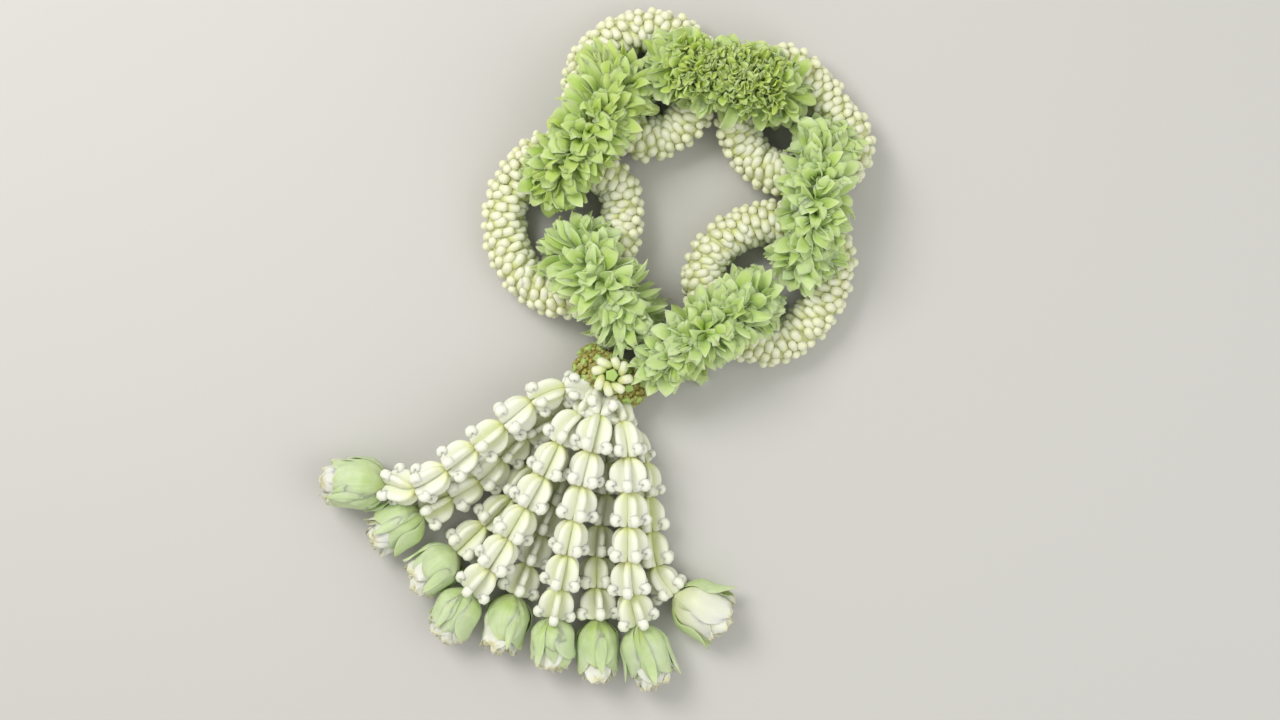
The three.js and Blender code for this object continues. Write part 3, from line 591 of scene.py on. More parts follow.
def budRingParts(dense, seed):
    random = np.random.default_rng(seed)
    length = lengthsAlong(dense)[-1]
    layers = 2 * round(length / budRing["pitch"] / 2)
    centres = evenLoop(dense, layers)
    tangents = unit(np.roll(centres, -1, 0) - np.roll(centres, 1, 0))
    side, up = acrossPath(tangents)
    shape = (layers, budRing["round"])
    angle = (np.arange(shape[1])[None] + (np.arange(layers)[:, None] % 2) / 2) * 2 * pi / shape[1]
    angle = angle + random.normal(0, 0.04, shape)
    out = side[:, None] * np.cos(angle)[..., None] + up[:, None] * np.sin(angle)[..., None]
    onward = np.cross(tangents[:, None], out)
    sweep = np.radians(budRing["sweep"] + random.normal(0, 3, shape))[..., None]
    axial = np.radians(budRing["axialLean"] + random.normal(0, 6, shape))[..., None]
    direction = unit(out * np.cos(sweep) + onward * np.sin(sweep) + tangents[:, None] * np.tan(axial))
    jitter = tangents[:, None] * random.normal(0, 0.3, shape)[..., None]
    roots = centres[:, None] + out * budRing["root"] + jitter
    across = unit(np.cross(direction, tangents[:, None]))
    flat = lambda values: values.reshape(-1, values.shape[-1])
    count = layers * shape[1]
    lengths = budRing["length"] * (1 + random.normal(0, 0.045, count))
    radii = budRing["radius"] * (1 + random.normal(0, 0.05, count))
    tints = random.random(count) ** 2
    return [
        coreTube(dense, budRing["coreRadius"], layers),
        buds(flat(roots), flat(direction), flat(across), lengths, radii, tints),
    ]


for index, dense in enumerate(budThreads):
    parts = budRingParts(dense, 100 + index)
    addPiece(f"budRing{index + 1}", parts, budMaterial, [f"bud_ring_{index + 1}"])
print("bud rings made")

# ---- Petal rings

petalRing = {
    "pitch": 2.6,
    "round": 11,
    "reach": 20.4,
    "legReach": 14.5,
    "root": 3.4,
    "width": 7.9,
    "thickness": 0.3,
    "sideLean": 32.0,
    "parting": 14.0,
    "press": 0.17,  # how much shorter the petals on top are
    "clearance": 0.4,
    "floor": 0.6,
    "ceiling": 51.2,
    "lowest": -0.5,  # petals that would point straight down are left out
    "sparse": 0.45,  # share of petals kept on the hidden lower half
    "arch": 0.3,  # radians by which a petal arches over
    "topArch": 0.9,
    "folded": 0.26,  # share of petals whose tips are folded over, and by how much
    "fold": 2.0,
}
petalRows = np.array([0.06, 0.25, 0.44, 0.6, 0.74, 0.86, 0.96])
petalAround = 8


def petalRingPlaces(link, distances):
    # Round an upright oval: along its lower straight, up one leg, back over the crest and down.
    straight = 2 * (link["halfLength"] - archBend)
    half = straight + pi * archBend
    far = np.mod(distances, 2 * half) >= half
    rest = np.mod(distances, half)
    angle = -pi / 2 + pi * far + np.maximum(0, rest - straight) / archBend
    run = np.minimum(rest, straight) - straight / 2
    along = heading(link["heading"])
    side = np.cross(upward, along)
    outward = along * np.cos(angle)[:, None] + upward * np.sin(angle)[:, None]
    middle = np.array([*link["middle"], coreFlat + archBend])
    centre = middle + along * np.where(far, -run, run)[:, None] + outward * archBend
    return centre, outward, np.broadcast_to(side, outward.shape), np.cross(outward, side), np.sin(angle)


def petalRingLength(link):
    return 4 * (link["halfLength"] - archBend) + 2 * pi * archBend


def petals(roots, direction, across, lengths, widths, form):
    # Each centreline bends along an arc, up towards the petal's face or down from it, and curls
    # more at its tip: it is summed up from short steps in the turned direction. The half width
    # grows as a quarter sine up to the waist and falls as a cosine to the pointed tip. The section
    # is a thin lens laid on an arc, so that the petal is cupped or rolled.
    face = np.cross(direction, across)
    fine = np.linspace(0, 1, 33)
    tipCurl = form["tipCurl"][:, None] * np.clip((fine - 0.6) / 0.3, 0, 1) ** 1.5
    turning = form["bend"][:, None] * fine + tipCurl
    middle = (turning[:, 1:] + turning[:, :-1]) / 2
    step = lengths[:, None] / (len(fine) - 1)
    start = np.zeros((len(lengths), 1))
    advance = np.concatenate([start, np.cumsum(np.cos(middle) * step, 1)], 1)
    rise = np.concatenate([start, np.cumsum(np.sin(middle) * step, 1)], 1)
    near = np.rint(petalRows * (len(fine) - 1)).astype(int)
    turn, forward, up = turning[:, near], advance[:, near], rise[:, near]
    centres = roots[:, None] + direction[:, None] * forward[..., None] + face[:, None] * up[..., None]
    localFace = face[:, None] * np.cos(turn)[..., None] - direction[:, None] * np.sin(turn)[..., None]
    waist = form["waist"]
    below = 0.22 + 0.78 * np.sin(pi / 2 * np.minimum(petalRows / waist, 1)) ** 1.3
    above = np.cos(pi / 2 * np.clip((petalRows - waist) / (1 - waist), 0, 1)) ** form["pointed"]
    half = widths[:, None] / 2 * below * above
    angle = np.arange(petalAround) * 2 * pi / petalAround
    u, lens = np.cos(angle), np.sin(angle)
    wrap = form["wrap"][:, None] * (0.5 + 0.7 * petalRows)
    rounding = wrap[..., None] * u
    curve = (half / wrap)[..., None]
    thickness = form["thickness"] * lens * (1.2 - 0.5 * petalRows[:, None])
    wave = form["wave"][:, None, None] * u**3 * np.sin(petalRows[:, None] * 8 + form["phase"][:, None, None])
    sideways = (curve - thickness) * np.sin(rounding)
    raised = curve * (1 - np.cos(rounding)) + thickness * np.cos(rounding) + wave
    rings = centres[:, :, None] + across[:, None, None] * sideways[..., None]
    rings = rings + localFace[:, :, None] * raised[..., None]
    tips = roots + direction * advance[:, -1:] + face * rise[:, -1:]
    traits = {
        "grow": petalRows[None, :, None],
        "across": u[None, None],
        "tint": form["tint"][:, None, None],
        "groove": form["groove"][:, None, None],
    }
    return loftPart(rings, np.stack([roots, tips], 1), traits)


tie = {
    "middle": np.array([8.2, -12.0, 13.6]),
    "heading": -27.2,
    "halfWidth": 14.5,
    "halfHeight": 9.0,
    "rim": 4.5,
    "halfDepth": 8.6,
}
tieLong = heading(tie["heading"])
tieAxis = np.cross(tieLong, upward)


def tieLoop(count):
    angle = np.arange(count) * 2 * pi / count
    flatLoop = tieLong * (tie["halfWidth"] * np.cos(angle))[:, None]
    centres = tie["middle"] + flatLoop + upward * (tie["halfHeight"] * np.sin(angle))[:, None]
    tangents = -tieLong * (tie["halfWidth"] * np.sin(angle))[:, None]
    tangents = unit(tangents + upward * (tie["halfHeight"] * np.cos(angle))[:, None])
    return centres, tangents


rosetteFloor = tie["middle"] + upward * (tie["halfHeight"] + tie["rim"] + ringSize["gap"])
petalThreads = [
    petalRingPlaces(link, np.arange(0, petalRingLength(link), 1.5))[0] for link in links
]
obstacles = [(evenLoop(dense, 90), ringSize["budReach"] - 0.6) for dense in budThreads]
obstacles.append((tieLoop(36)[0], tie["halfDepth"]))
obstacles.append((rosetteFloor[None], 10.0))


def nearest(points, line):
    return np.linalg.norm(points[:, :, None] - line[None, None], axis=3).min(2)


def isFree(samples, index):
    own = nearest(samples, petalThreads[index])
    free = ((samples[..., 2] > petalRing["floor"]) & (samples[..., 2] < petalRing["ceiling"])).all(1)
    for line, radius in obstacles:
        free &= (nearest(samples, line) > radius + petalRing["clearance"]).all(1)
    for other, line in enumerate(petalThreads):
        if other != index:
            free &= (nearest(samples, line) > own).all(1)
    return free


def awayFromZero(values, least):
    return np.where(values < 0, np.minimum(values, -least), np.maximum(values, least))


def petalForm(random, count, bend, tint, groove=0.0, wrap=1.1, pointed=1.05, waist=0.57):
    return {
        "bend": bend,
        "tipCurl": random.normal(-0.2, 0.6, count),
        "waist": np.full((count, 1), waist),
        "pointed": pointed,
        "wrap": awayFromZero(random.normal(wrap * 0.5, wrap * 0.7, count), 0.08),
        "wave": random.normal(0, 0.55, count),
        "phase": random.random(count) * 6,
        "thickness": petalRing["thickness"],
        "tint": tint,
        "groove": np.broadcast_to(groove, (count,)),
    }


def ringPetals(link, index, seed, growth="full"):
    # Two lesser growths hide the core: short petals along the crest, and petals laid along the
    # thread low between the bud rings.
    random = np.random.default_rng(seed)
    length = petalRingLength(link)
    layers = 2 * round(length / petalRing["pitch"] / 2)
    distances = np.arange(layers) * length / layers
    shape = (layers, petalRing["round"])
    flat = lambda values: np.repeat(values[:, None], shape[1], 1).reshape(-1, *values.shape[1:])
    centre, outward, side, tangent, height = (flat(v) for v in petalRingPlaces(link, distances))
    spin = (np.arange(shape[1])[None] + (np.arange(layers)[:, None] % 2) / 2) * 2 * pi / shape[1]
    spin = (spin + random.normal(0, 0.16, shape)).ravel()
    out = outward * np.cos(spin)[:, None] + side * np.sin(spin)[:, None]
    top = np.maximum(0, np.cos(spin)) * np.maximum(0, height)
    offset = ((centre - np.array([*link["middle"], 0.0])) * heading(link["heading"])).sum(1)
    spread = np.clip(offset / petalRing["parting"], -1, 1)
    lean = petalRing["sideLean"] + (link["topLean"] - petalRing["sideLean"]) * top
    strewn = 28 if growth == "crest" else 12
    lean = np.radians(-spread * lean * (1 + height) / 2 + random.normal(0, strewn, len(spin)))
    isTied = np.sign(offset) == link.get("tiedEnd", 0)
    overArch = np.where(isTied, 1.0, np.clip(height / 0.6, 0, 1))
    reach = petalRing["legReach"] + (petalRing["reach"] - petalRing["legReach"]) * overArch
    if "flare" in link:
        flareSide, flareEnd, flareBy = link["flare"]
        towards = np.clip(flareSide * np.sin(spin), 0, 1) * np.clip(flareEnd * spread * 0.8 + 0.3, 0, 1)
        reach = reach + flareBy * towards * (height > -0.3)
    reach = reach * (1 - petalRing["press"] * top) * (1 + random.normal(0, 0.08, len(spin)))
    wanted = np.cos(spin) > petalRing["lowest"]
    if growth == "crest":
        reach = reach * random.uniform(0.62, 0.84, len(spin))
        wanted = top > 0.35
    if growth == "low":
        reach = random.uniform(9.5, 14.0, len(spin))
        lean = np.radians(random.uniform(42, 64, len(spin)) * random.choice([-1, 1], len(spin)))
        wanted = height < 0.2
    wanted &= (height > -0.15) | (random.random(len(spin)) < petalRing["sparse"])
    if link.get("crumpled"):
        wanted &= ~((np.abs(offset) < crumple["halfLength"]) & (height > 0.6) & (np.cos(spin) > 0.45))
    chosen = np.zeros(len(spin), bool)
    share = np.ones(len(spin))
    direction = np.zeros_like(out)
    steps = np.array([0.35, 0.6, 0.8, 1.0])
    for shorten in (1.0, 0.86, 0.72, 0.58):
        for lift in (0.0, 0.2, 0.45, 0.8):
            trial = out * np.cos(lean)[:, None] + tangent * np.sin(lean)[:, None]
            trial = unit(trial + upward * lift * (height > 0)[:, None])
            samples = centre[:, None] + trial[:, None] * (steps * (reach * shorten)[:, None])[..., None]
            edges = unit(np.cross(tangent, trial))[:, None] * 2.5
            waists = samples[:, 1:3]
            free = isFree(np.concatenate([samples, waists + edges, waists - edges], 1), index)
            taken = free & ~chosen & wanted
            chosen |= taken
            share[taken] = shorten
            direction[taken] = trial[taken]
    count = chosen.sum()
    direction = direction[chosen]
    # Faces look up, each turned a little about its petal.
    across = unit(np.cross(upward + random.normal(0, 0.12, direction.shape), direction))
    across = turned(across, direction, random.normal(0, 0.55, count))
    lengths = (reach * share)[chosen] - petalRing["root"]
    roots = centre[chosen] + direction * petalRing["root"]
    archOver = petalRing["arch"] + (petalRing["topArch"] - petalRing["arch"]) * top[chosen] ** 2
    bend = -archOver + random.normal(0, 0.45, count)
    lengths = lengths * (1 + 0.1 * np.abs(bend))
    widths = petalRing["width"] * (0.72 + 0.28 * share[chosen]) * (1 + random.normal(0, 0.13, count))
    blunt = {"pointed": 0.65, "waist": 0.66} if link.get("crumpled") else {}
    groove = link.get("yellow", 0.0) * random.random(count)
    form = petalForm(random, count, bend, random.random(count) * link.get("pale", 1.0), groove, **blunt)
    folds = random.random(count) < link.get("folded", petalRing["folded"]) * (0.5 + top[chosen])
    form["tipCurl"] = np.where(folds, -petalRing["fold"], form["tipCurl"]) - 0.35 * top[chosen] ** 2
    form["waist"] = form["waist"] + random.normal(0, 0.04, (count, 1))
    edge = np.zeros(count, bool)
    if link.get("crumpled"):
        edge = (np.abs(offset[chosen]) < crumple["halfLength"]) & (height[chosen] > 0.5)
        widths = np.where(edge, widths * 1.25, widths)
        form["wrap"] = np.where(edge & (np.sin(spin[chosen]) < 0), 1.3, form["wrap"])
        form["tint"] = np.where(edge, 0.5 + form["tint"] / 2, form["tint"])
    if link.get("drooping"):
        # Towards the tie the petals hang long, narrow and rolled.
        hangs = (spread[chosen] * link["tiedEnd"] > 0.1) & (np.cos(spin[chosen]) < 0.75)
        widths = np.where(hangs, widths * 0.66, widths)
        lengths = np.where(hangs, lengths * 1.12, lengths)
        form["tipCurl"] = np.where(hangs, form["tipCurl"] / 2, form["tipCurl"])
        form["wrap"] = np.where(hangs, 1.5, form["wrap"])
        form["bend"] = np.where(hangs, form["bend"] - 0.45, form["bend"])
        form["tint"] = np.where(hangs, 0.4 + 0.6 * form["tint"], form["tint"])
    return petals(roots, direction, across, lengths, widths, form)


crumple = {"halfLength": 21.0, "count": 680, "length": 6.8, "width": 5.2, "deepest": 7.0, "highest": 12.5}


def crumpledBits(link, seed):
    # Small curled bits crowd the crest between the ring's larger petals.
    random = np.random.default_rng(seed)
    count = crumple["count"]
    places = petalRingPlaces(link, random.uniform(0, petalRingLength(link), count * 8))
    offset = ((places[0] - np.array([*link["middle"], 0.0])) * heading(link["heading"])).sum(1)
    chosen = np.flatnonzero((np.abs(offset) < crumple["halfLength"]) & (places[4] > 0.6))[:count]
    centre, outward, side = (place[chosen] for place in places[:3])
    count = len(chosen)
    spin = random.uniform(-1.25, 1.25, count)
    out = outward * np.cos(spin)[:, None] + side * np.sin(spin)[:, None]
    depth = random.uniform(crumple["deepest"], crumple["highest"], count)
    direction = unit(out + random.normal(0, 0.45, out.shape))
    across = unit(np.cross(direction, random.normal(0, 1, out.shape)))
    lengths = crumple["length"] * random.uniform(0.7, 1.25, count)
    room = petalRing["ceiling"] - (centre + out * depth[:, None])[:, 2]
    lengths = np.minimum(lengths, np.maximum(room, 2.0))
    widths = crumple["width"] * random.uniform(0.7, 1.3, count)
    bend = random.normal(0, 1.1, count)
    tint = random.random(count) * 0.45
    form = petalForm(random, count, bend, tint, random.uniform(0.2, 1, count), 2.0, 0.6)
    form["wave"] = random.normal(0, 0.8, count)
    return petals(centre + out * depth[:, None], direction, across, lengths, widths, form)


links[2]["crumpled"] = True
links[0]["drooping"] = True
# Where petals reach further, or less far: on which side, at which end and by how much.
links[0]["flare"] = (-1, -1, 8.0)
links[1]["flare"] = (1, 1, 8.0)
links[4]["flare"] = (-1, -1, -5.0)
# How far crest petals lean outward, in degrees, and how pale or yellow each ring is.
links[0].update(topLean=40.0, pale=1.0, yellow=0.1)
links[1].update(topLean=26.0, pale=0.36, yellow=0.6, folded=0.5)
links[2].update(topLean=45.0, pale=0.55, yellow=0.5)
links[3].update(topLean=46.0, pale=1.1, yellow=0.1)
links[4].update(topLean=40.0, pale=0.95, yellow=0.1)
for index, link in enumerate(links):
    places = petalRingPlaces(link, np.arange(0, petalRingLength(link), 2.5))
    angle = np.arange(10) * 2 * pi / 10
    rings = (
        places[0][:, None]
        + places[1][:, None] * (4.0 * np.cos(angle))[None, :, None]
        + places[2][:, None] * (4.0 * np.sin(angle))[None, :, None]
    )
    # The core takes the petals' dark root colour, painted shade deep inside the ring.
    core = loopPart(rings, {"grow": np.array(0.05)})
    parts = [core, ringPetals(link, index, 200 + index), ringPetals(link, index, 220 + index, "crest")]
    parts.append(ringPetals(link, index, 230 + index, "low"))
    if link.get("crumpled"):
        parts.append(crumpledBits(link, 250))
    addPiece(f"petalRing{index + 1}", parts, petalMaterial, [f"petal_ring_{index + 1}"], True)
    print("petal ring", index + 1, "made")

# ---- Tie

tieCrumbs = {
    "crumbs": 900,
    "crumbRadius": 1.15,
    "crumbLength": 2.6,
    "caps": 84,
    "capRadius": 2.3,
    "capLength": 3.0,
    "sink": 1.5,
}
starRows = np.array([0.15, 0.55, 0.9, 1.0])
starRadii = np.array([0.75, 1.0, 1.0, 0.72])


def starBuds(roots, directions, across, lengths, radii, tints, caps, notch=0.8):
    # Squat five-sided buds: every other point round is a corner, the ones between stand in, and
    # the top is dished.
    face = np.cross(directions, across)
    around = 10
    angle = np.arange(around) * 2 * pi / around
    corner = np.where(np.arange(around) % 2 == 0, 1.0, notch)
    centres = roots[:, None] + directions[:, None] * (starRows * lengths[:, None])[..., None]
    reach = (starRadii * radii[:, None])[..., None] * corner
    rings = (
        centres[:, :, None]
        + across[:, None, None] * (reach * np.cos(angle))[..., None]
        + face[:, None, None] * (reach * np.sin(angle))[..., None]
    )
    tips = roots + directions * (lengths * 0.82)[:, None]
    traits = {
        "grow": starRows[None, :, None],
        "across": (1 - corner)[None, None] * 2,
        "tint": tints[:, None, None],
        "groove": caps[:, None, None],
    }
    return loftPart(rings, np.stack([roots, tips], 1), traits)


def tieSurface(turn, angle):
    # The band's section is an oval, thick across the rim and long along the tie's axis.
    flatLoop = tieLong * (tie["halfWidth"] * np.cos(turn))[:, None]
    centres = tie["middle"] + flatLoop + upward * (tie["halfHeight"] * np.sin(turn))[:, None]
    out = tieLong * (tie["halfHeight"] * np.cos(turn))[:, None]
    out = unit(out + upward * (tie["halfWidth"] * np.sin(turn))[:, None])
    rim = (tie["rim"] * np.cos(angle))[:, None]
    depth = (tie["halfDepth"] * np.sin(angle))[:, None]
    normal = unit(out * rim / tie["rim"] ** 2 + tieAxis * depth / tie["halfDepth"] ** 2)
    return centres + out * rim + tieAxis * depth, normal


def tieParts():
    random = np.random.default_rng(300)
    crumbs, caps = tieCrumbs["crumbs"], tieCrumbs["caps"]
    # Crumbs lie at random; caps are spread by the golden ratio.
    turn = np.concatenate([random.uniform(0, 2 * pi, crumbs), np.arange(caps) / caps * 2 * pi])
    spot = np.concatenate([random.uniform(-pi, pi, crumbs), np.mod(np.arange(caps) * 0.618, 1) * 2 * pi])
    seat, normal = tieSurface(turn, spot)
    isCap = np.arange(crumbs + caps) >= crumbs
    total = crumbs + caps
    normal = unit(normal + random.normal(0, 1, normal.shape) * np.where(isCap, 0.12, 0.45)[:, None])
    across = unit(np.cross(normal, random.normal(0, 1, normal.shape)))
    crumbLengths = tieCrumbs["crumbLength"] * random.uniform(0.7, 1.2, total)
    lengths = np.where(isCap, tieCrumbs["capLength"], crumbLengths)
    radii = np.where(isCap, tieCrumbs["capRadius"], tieCrumbs["crumbRadius"])
    radii = radii * random.uniform(0.75, 1.15, total)
    roots = seat - normal * np.where(isCap, tieCrumbs["sink"] + 0.5, tieCrumbs["sink"] + 0.6)[:, None]
    bits = starBuds(roots, normal, across, lengths, radii, random.random(total), isCap * 1.0)
    centres, tangents = tieLoop(48)
    out = np.cross(tangents, tieAxis)
    ring = np.arange(16) * 2 * pi / 16
    loops = (
        centres[:, None]
        + out[:, None] * ((tie["rim"] - 0.9) * np.cos(ring))[None, :, None]
        - tieAxis * ((tie["halfDepth"] - 0.9) * np.sin(ring))[None, :, None]
    )
    return [loopPart(loops, {"grow": np.array(0.5), "tint": np.array(0.5)}), bits]


addPiece("tieBand", tieParts(), tieMaterial, ["tie_band"])

rosette = {"buds": 8, "radius": 4.6, "length": 7.6, "budRadius": 2.25, "height": 2.0, "sweep": 52.0}


def rosetteParts():
    random = np.random.default_rng(310)
    count = rosette["buds"]
    angle = np.radians(np.arange(count) * 360 / count + 10) + random.normal(0, 0.06, count)
    out = np.stack([np.cos(angle), np.sin(angle), np.zeros(count)], 1)
    sweep = np.radians(rosette["sweep"]) + random.normal(0, 0.16, count)
    direction = turned(out, np.broadcast_to(upward, out.shape), sweep)
    direction = unit(direction + upward * random.normal(0.05, 0.08, count)[:, None])
    roots = rosetteFloor + upward * rosette["height"] + out * rosette["radius"] - direction * 1.5
    across = unit(np.cross(direction, upward))
    lengths = rosette["length"] * (1 + random.normal(0, 0.05, count))
    radii = np.full(count, rosette["budRadius"])
    return [buds(roots, direction, across, lengths, radii, random.random(count) * 0.4)]


addPiece("rosetteBuds", rosetteParts(), budMaterial, ["rosette_buds"])
star = starBuds(
    rosetteFloor[None] + upward * 1.2,
    upward[None],
    np.array([[1.0, 0.0, 0.0]]),
    np.array([4.0]),
    np.array([3.3]),
    np.array([0.2]),
    np.array([1.0]),
)
addPiece("rosetteCentre", [star], tieMaterial, ["rosette_centre"])
print("tie made")

# ---- Strands

strands = [
    {
        "route": [(-14, -18.5, 20), (-27, -23, 24), (-39, -32.5, 25)]
        + [(-57.4, -47, 26), (-86, -65.8, 24), (-99.8, -64.4, 16)],
        "start": -3, "opening": (0.9, 0.96), "row": 1, "place": -1.5, "tip": (-132.8, -64), "radius": 12.5,
    },
    {
        "route": [(-12, -29, 12), (-37.8, -45.2, 12), (-54.2, -62.2, 10), (-84, -79, 10)],
        "start": 21, "opening": (0.85, 0.95), "row": 0, "place": -2, "tip": (-109, -93), "radius": 11.3,
        "bracts": (170,),
    },
    {
        "route": [(-7, -33, 9), (-22.5, -47, 8.8), (-42.2, -73.2, 8.8), (-67.2, -98, 10)],
        "start": 29, "opening": (0.8, 0.95), "row": 0, "place": -1, "tip": (-88.5, -115), "radius": 11,
        "bracts": (170,),
    },
    {
        "route": [(-3, -28, 19), (-12.5, -37, 25), (-25, -61.4, 26), (-49, -102.2, 22), (-60, -116.2, 15)],
        "start": -3, "opening": (0.88, 0.94), "curlsFrom": 0,
        "row": 1, "place": -0.5, "tip": (-75, -139.5), "radius": 11,
    },
    {
        "route": [(0, -34, 9), (-12.9, -57.6, 8.8), (-25.4, -85.9, 8.8), (-38.9, -118.6, 10)],
        "start": 25, "opening": (0.85, 1), "row": 0, "place": 0, "tip": (-47.5, -147), "radius": 11,
    },
    {
        "route": [(3, -28, 22), (1, -37, 29), (-6.7, -67.7, 28), (-16.8, -113.8, 22), (-20.2, -128.6, 15)],
        "start": -3, "opening": (1.0, 0.96), "row": 1, "place": 0.5, "tip": (-21.5, -155), "radius": 10.6,
    },
    {
        "route": [(5, -36, 9), (4.8, -63.4, 8.8), (1, -97, 8.8), (1, -130.6, 10)],
        "start": 30, "opening": (0.95, 1), "row": 0, "place": 1, "tip": (1.5, -162), "radius": 10.4,
    },
    {
        "route": [(11, -31, 19), (14.6, -41, 25), (16.3, -67.7, 26), (16.8, -113, 22), (20.6, -132, 15)],
        "start": -3, "opening": (0.88, 0.94), "curlsFrom": 0,
        "row": 1, "place": 1.5, "tip": (30, -164), "radius": 11,
        "bracts": (10, 170),
    },
    {
        "route": [(13, -33, 9), (22, -49, 8.8), (26.5, -88.8, 8.8), (30, -107.6, 9.2), (38, -119, 10)],
        "start": 16, "opening": (0.7, 0.9), "row": 0, "place": 2, "tip": (65.5, -133), "radius": 12.5,
        "open": 1.2,
    },
]
corona = {
    "radius": 9.2,
    "pitch": 16.8,
    "fins": 5,
    "plate": 1.7,  # half a fin's thickness
    "column": 2.0,
    "threadRadius": 0.6,
    "knobPlace": 0.79,
    "knobReach": 0.86,
    "curl": 1.6,
    "knob": 2.0,
    "knobAcross": 2.3,
    "firstPlace": -1.5,
    "closedOpening": 0.66,
    "crowdedPitch": 13,
    "overlap": 1.03,
    "curlFrom": -115,  # degrees
    "curlSweep": 290,
}
strandRoots = {"depth": 12.7, "spacing": 3.4, "rowHeight": 4}  # where the strands leave the tie
# Along a corona from hub to wide end: how far along, the fins' reach and their thickness.
coronaRows = np.array([-0.13, -0.11, -0.02, 0.03, 0.09, 0.17, 0.28, 0.4, 0.52, 0.62, 0.72, 0.82, 0.91, 0.97])
coronaReach = np.array([0.2, 0.27, 0.29, 0.43, 0.61, 0.79, 0.93, 0.99, 1.0, 0.95, 0.89, 0.87, 0.76, 0.46])
coronaPlate = np.array([0.6, 0.7, 0.7, 0.75, 0.8, 0.9, 1.0, 1.0, 1.0, 1.0, 1.05, 1.1, 1.05, 0.8])
# Round a fin: the groove before it, then up one side, over its edge and down the other.
finShare = np.array([0.0, 0.3, 0.66, 0.92, 1.0, 0.92, 0.66, 0.3])
finSide = np.array([0.0, -1.0, -0.9, -0.7, 0.0, 0.7, 0.9, 1.0])
curlRows = np.linspace(0, 1, 8)


def strandRoute(strand):
    start = tie["middle"] + tieAxis * strandRoots["depth"]
    start = start + tieLong * strand["place"] * strandRoots["spacing"]
    start = start + upward * (strand["row"] - 0.5) * strandRoots["rowHeight"]
    return smoothCurve(np.concatenate([start[None], np.array(strand["route"], float)]), False)


def framesAlong(dense, distances):
    centres = pointsAlong(dense, distances)
    tangents = unit(pointsAlong(dense, distances + 0.4) - pointsAlong(dense, distances - 0.4))
    side, up = acrossPath(tangents)
    return centres, tangents, side, up


def threadTube(points, radius):
    points = np.asarray(points, float)
    tangents = unit(np.gradient(points, axis=0))
    side, up = acrossPath(tangents)
    ring = np.arange(6) * 2 * pi / 6
    rings = (
        points[:, None]
        + side[:, None] * (radius * np.cos(ring))[None, :, None]
        + up[:, None] * (radius * np.sin(ring))[None, :, None]
    )
    return loftPart(rings[None], np.stack([points[0], points[-1]])[None], {"grow": np.array(0.5)})


def crownPlaces(strand, random):
    # Down the strand the coronas are evenly spaced; closed ones crowd the stretch at the tie.
    length = lengthsAlong(strandRoute(strand))[-1]
    count = round((length - strand["start"]) / corona["pitch"])
    pitch = (length - strand["start"]) / count
    opening = np.ones(count)
    opening[: len(strand["opening"])] = strand["opening"]
    crowded = round((strand["start"] - corona["firstPlace"]) / corona["crowdedPitch"])
    short = (strand["start"] - corona["firstPlace"]) / max(crowded, 1)
    along = (np.arange(crowded) + 0.5) / max(crowded, 1)
    closed = corona["closedOpening"] + (opening[0] - corona["closedOpening"]) * along
    starts = np.concatenate(
        [corona["firstPlace"] + np.arange(crowded) * short, strand["start"] + np.arange(count) * pitch]
    )
    lengths = np.concatenate([np.full(crowded, short), np.full(count, pitch)])
    radii = corona["radius"] * np.concatenate([closed, opening])
    return starts, lengths, radii * (1 + random.normal(0, 0.03, len(radii)))


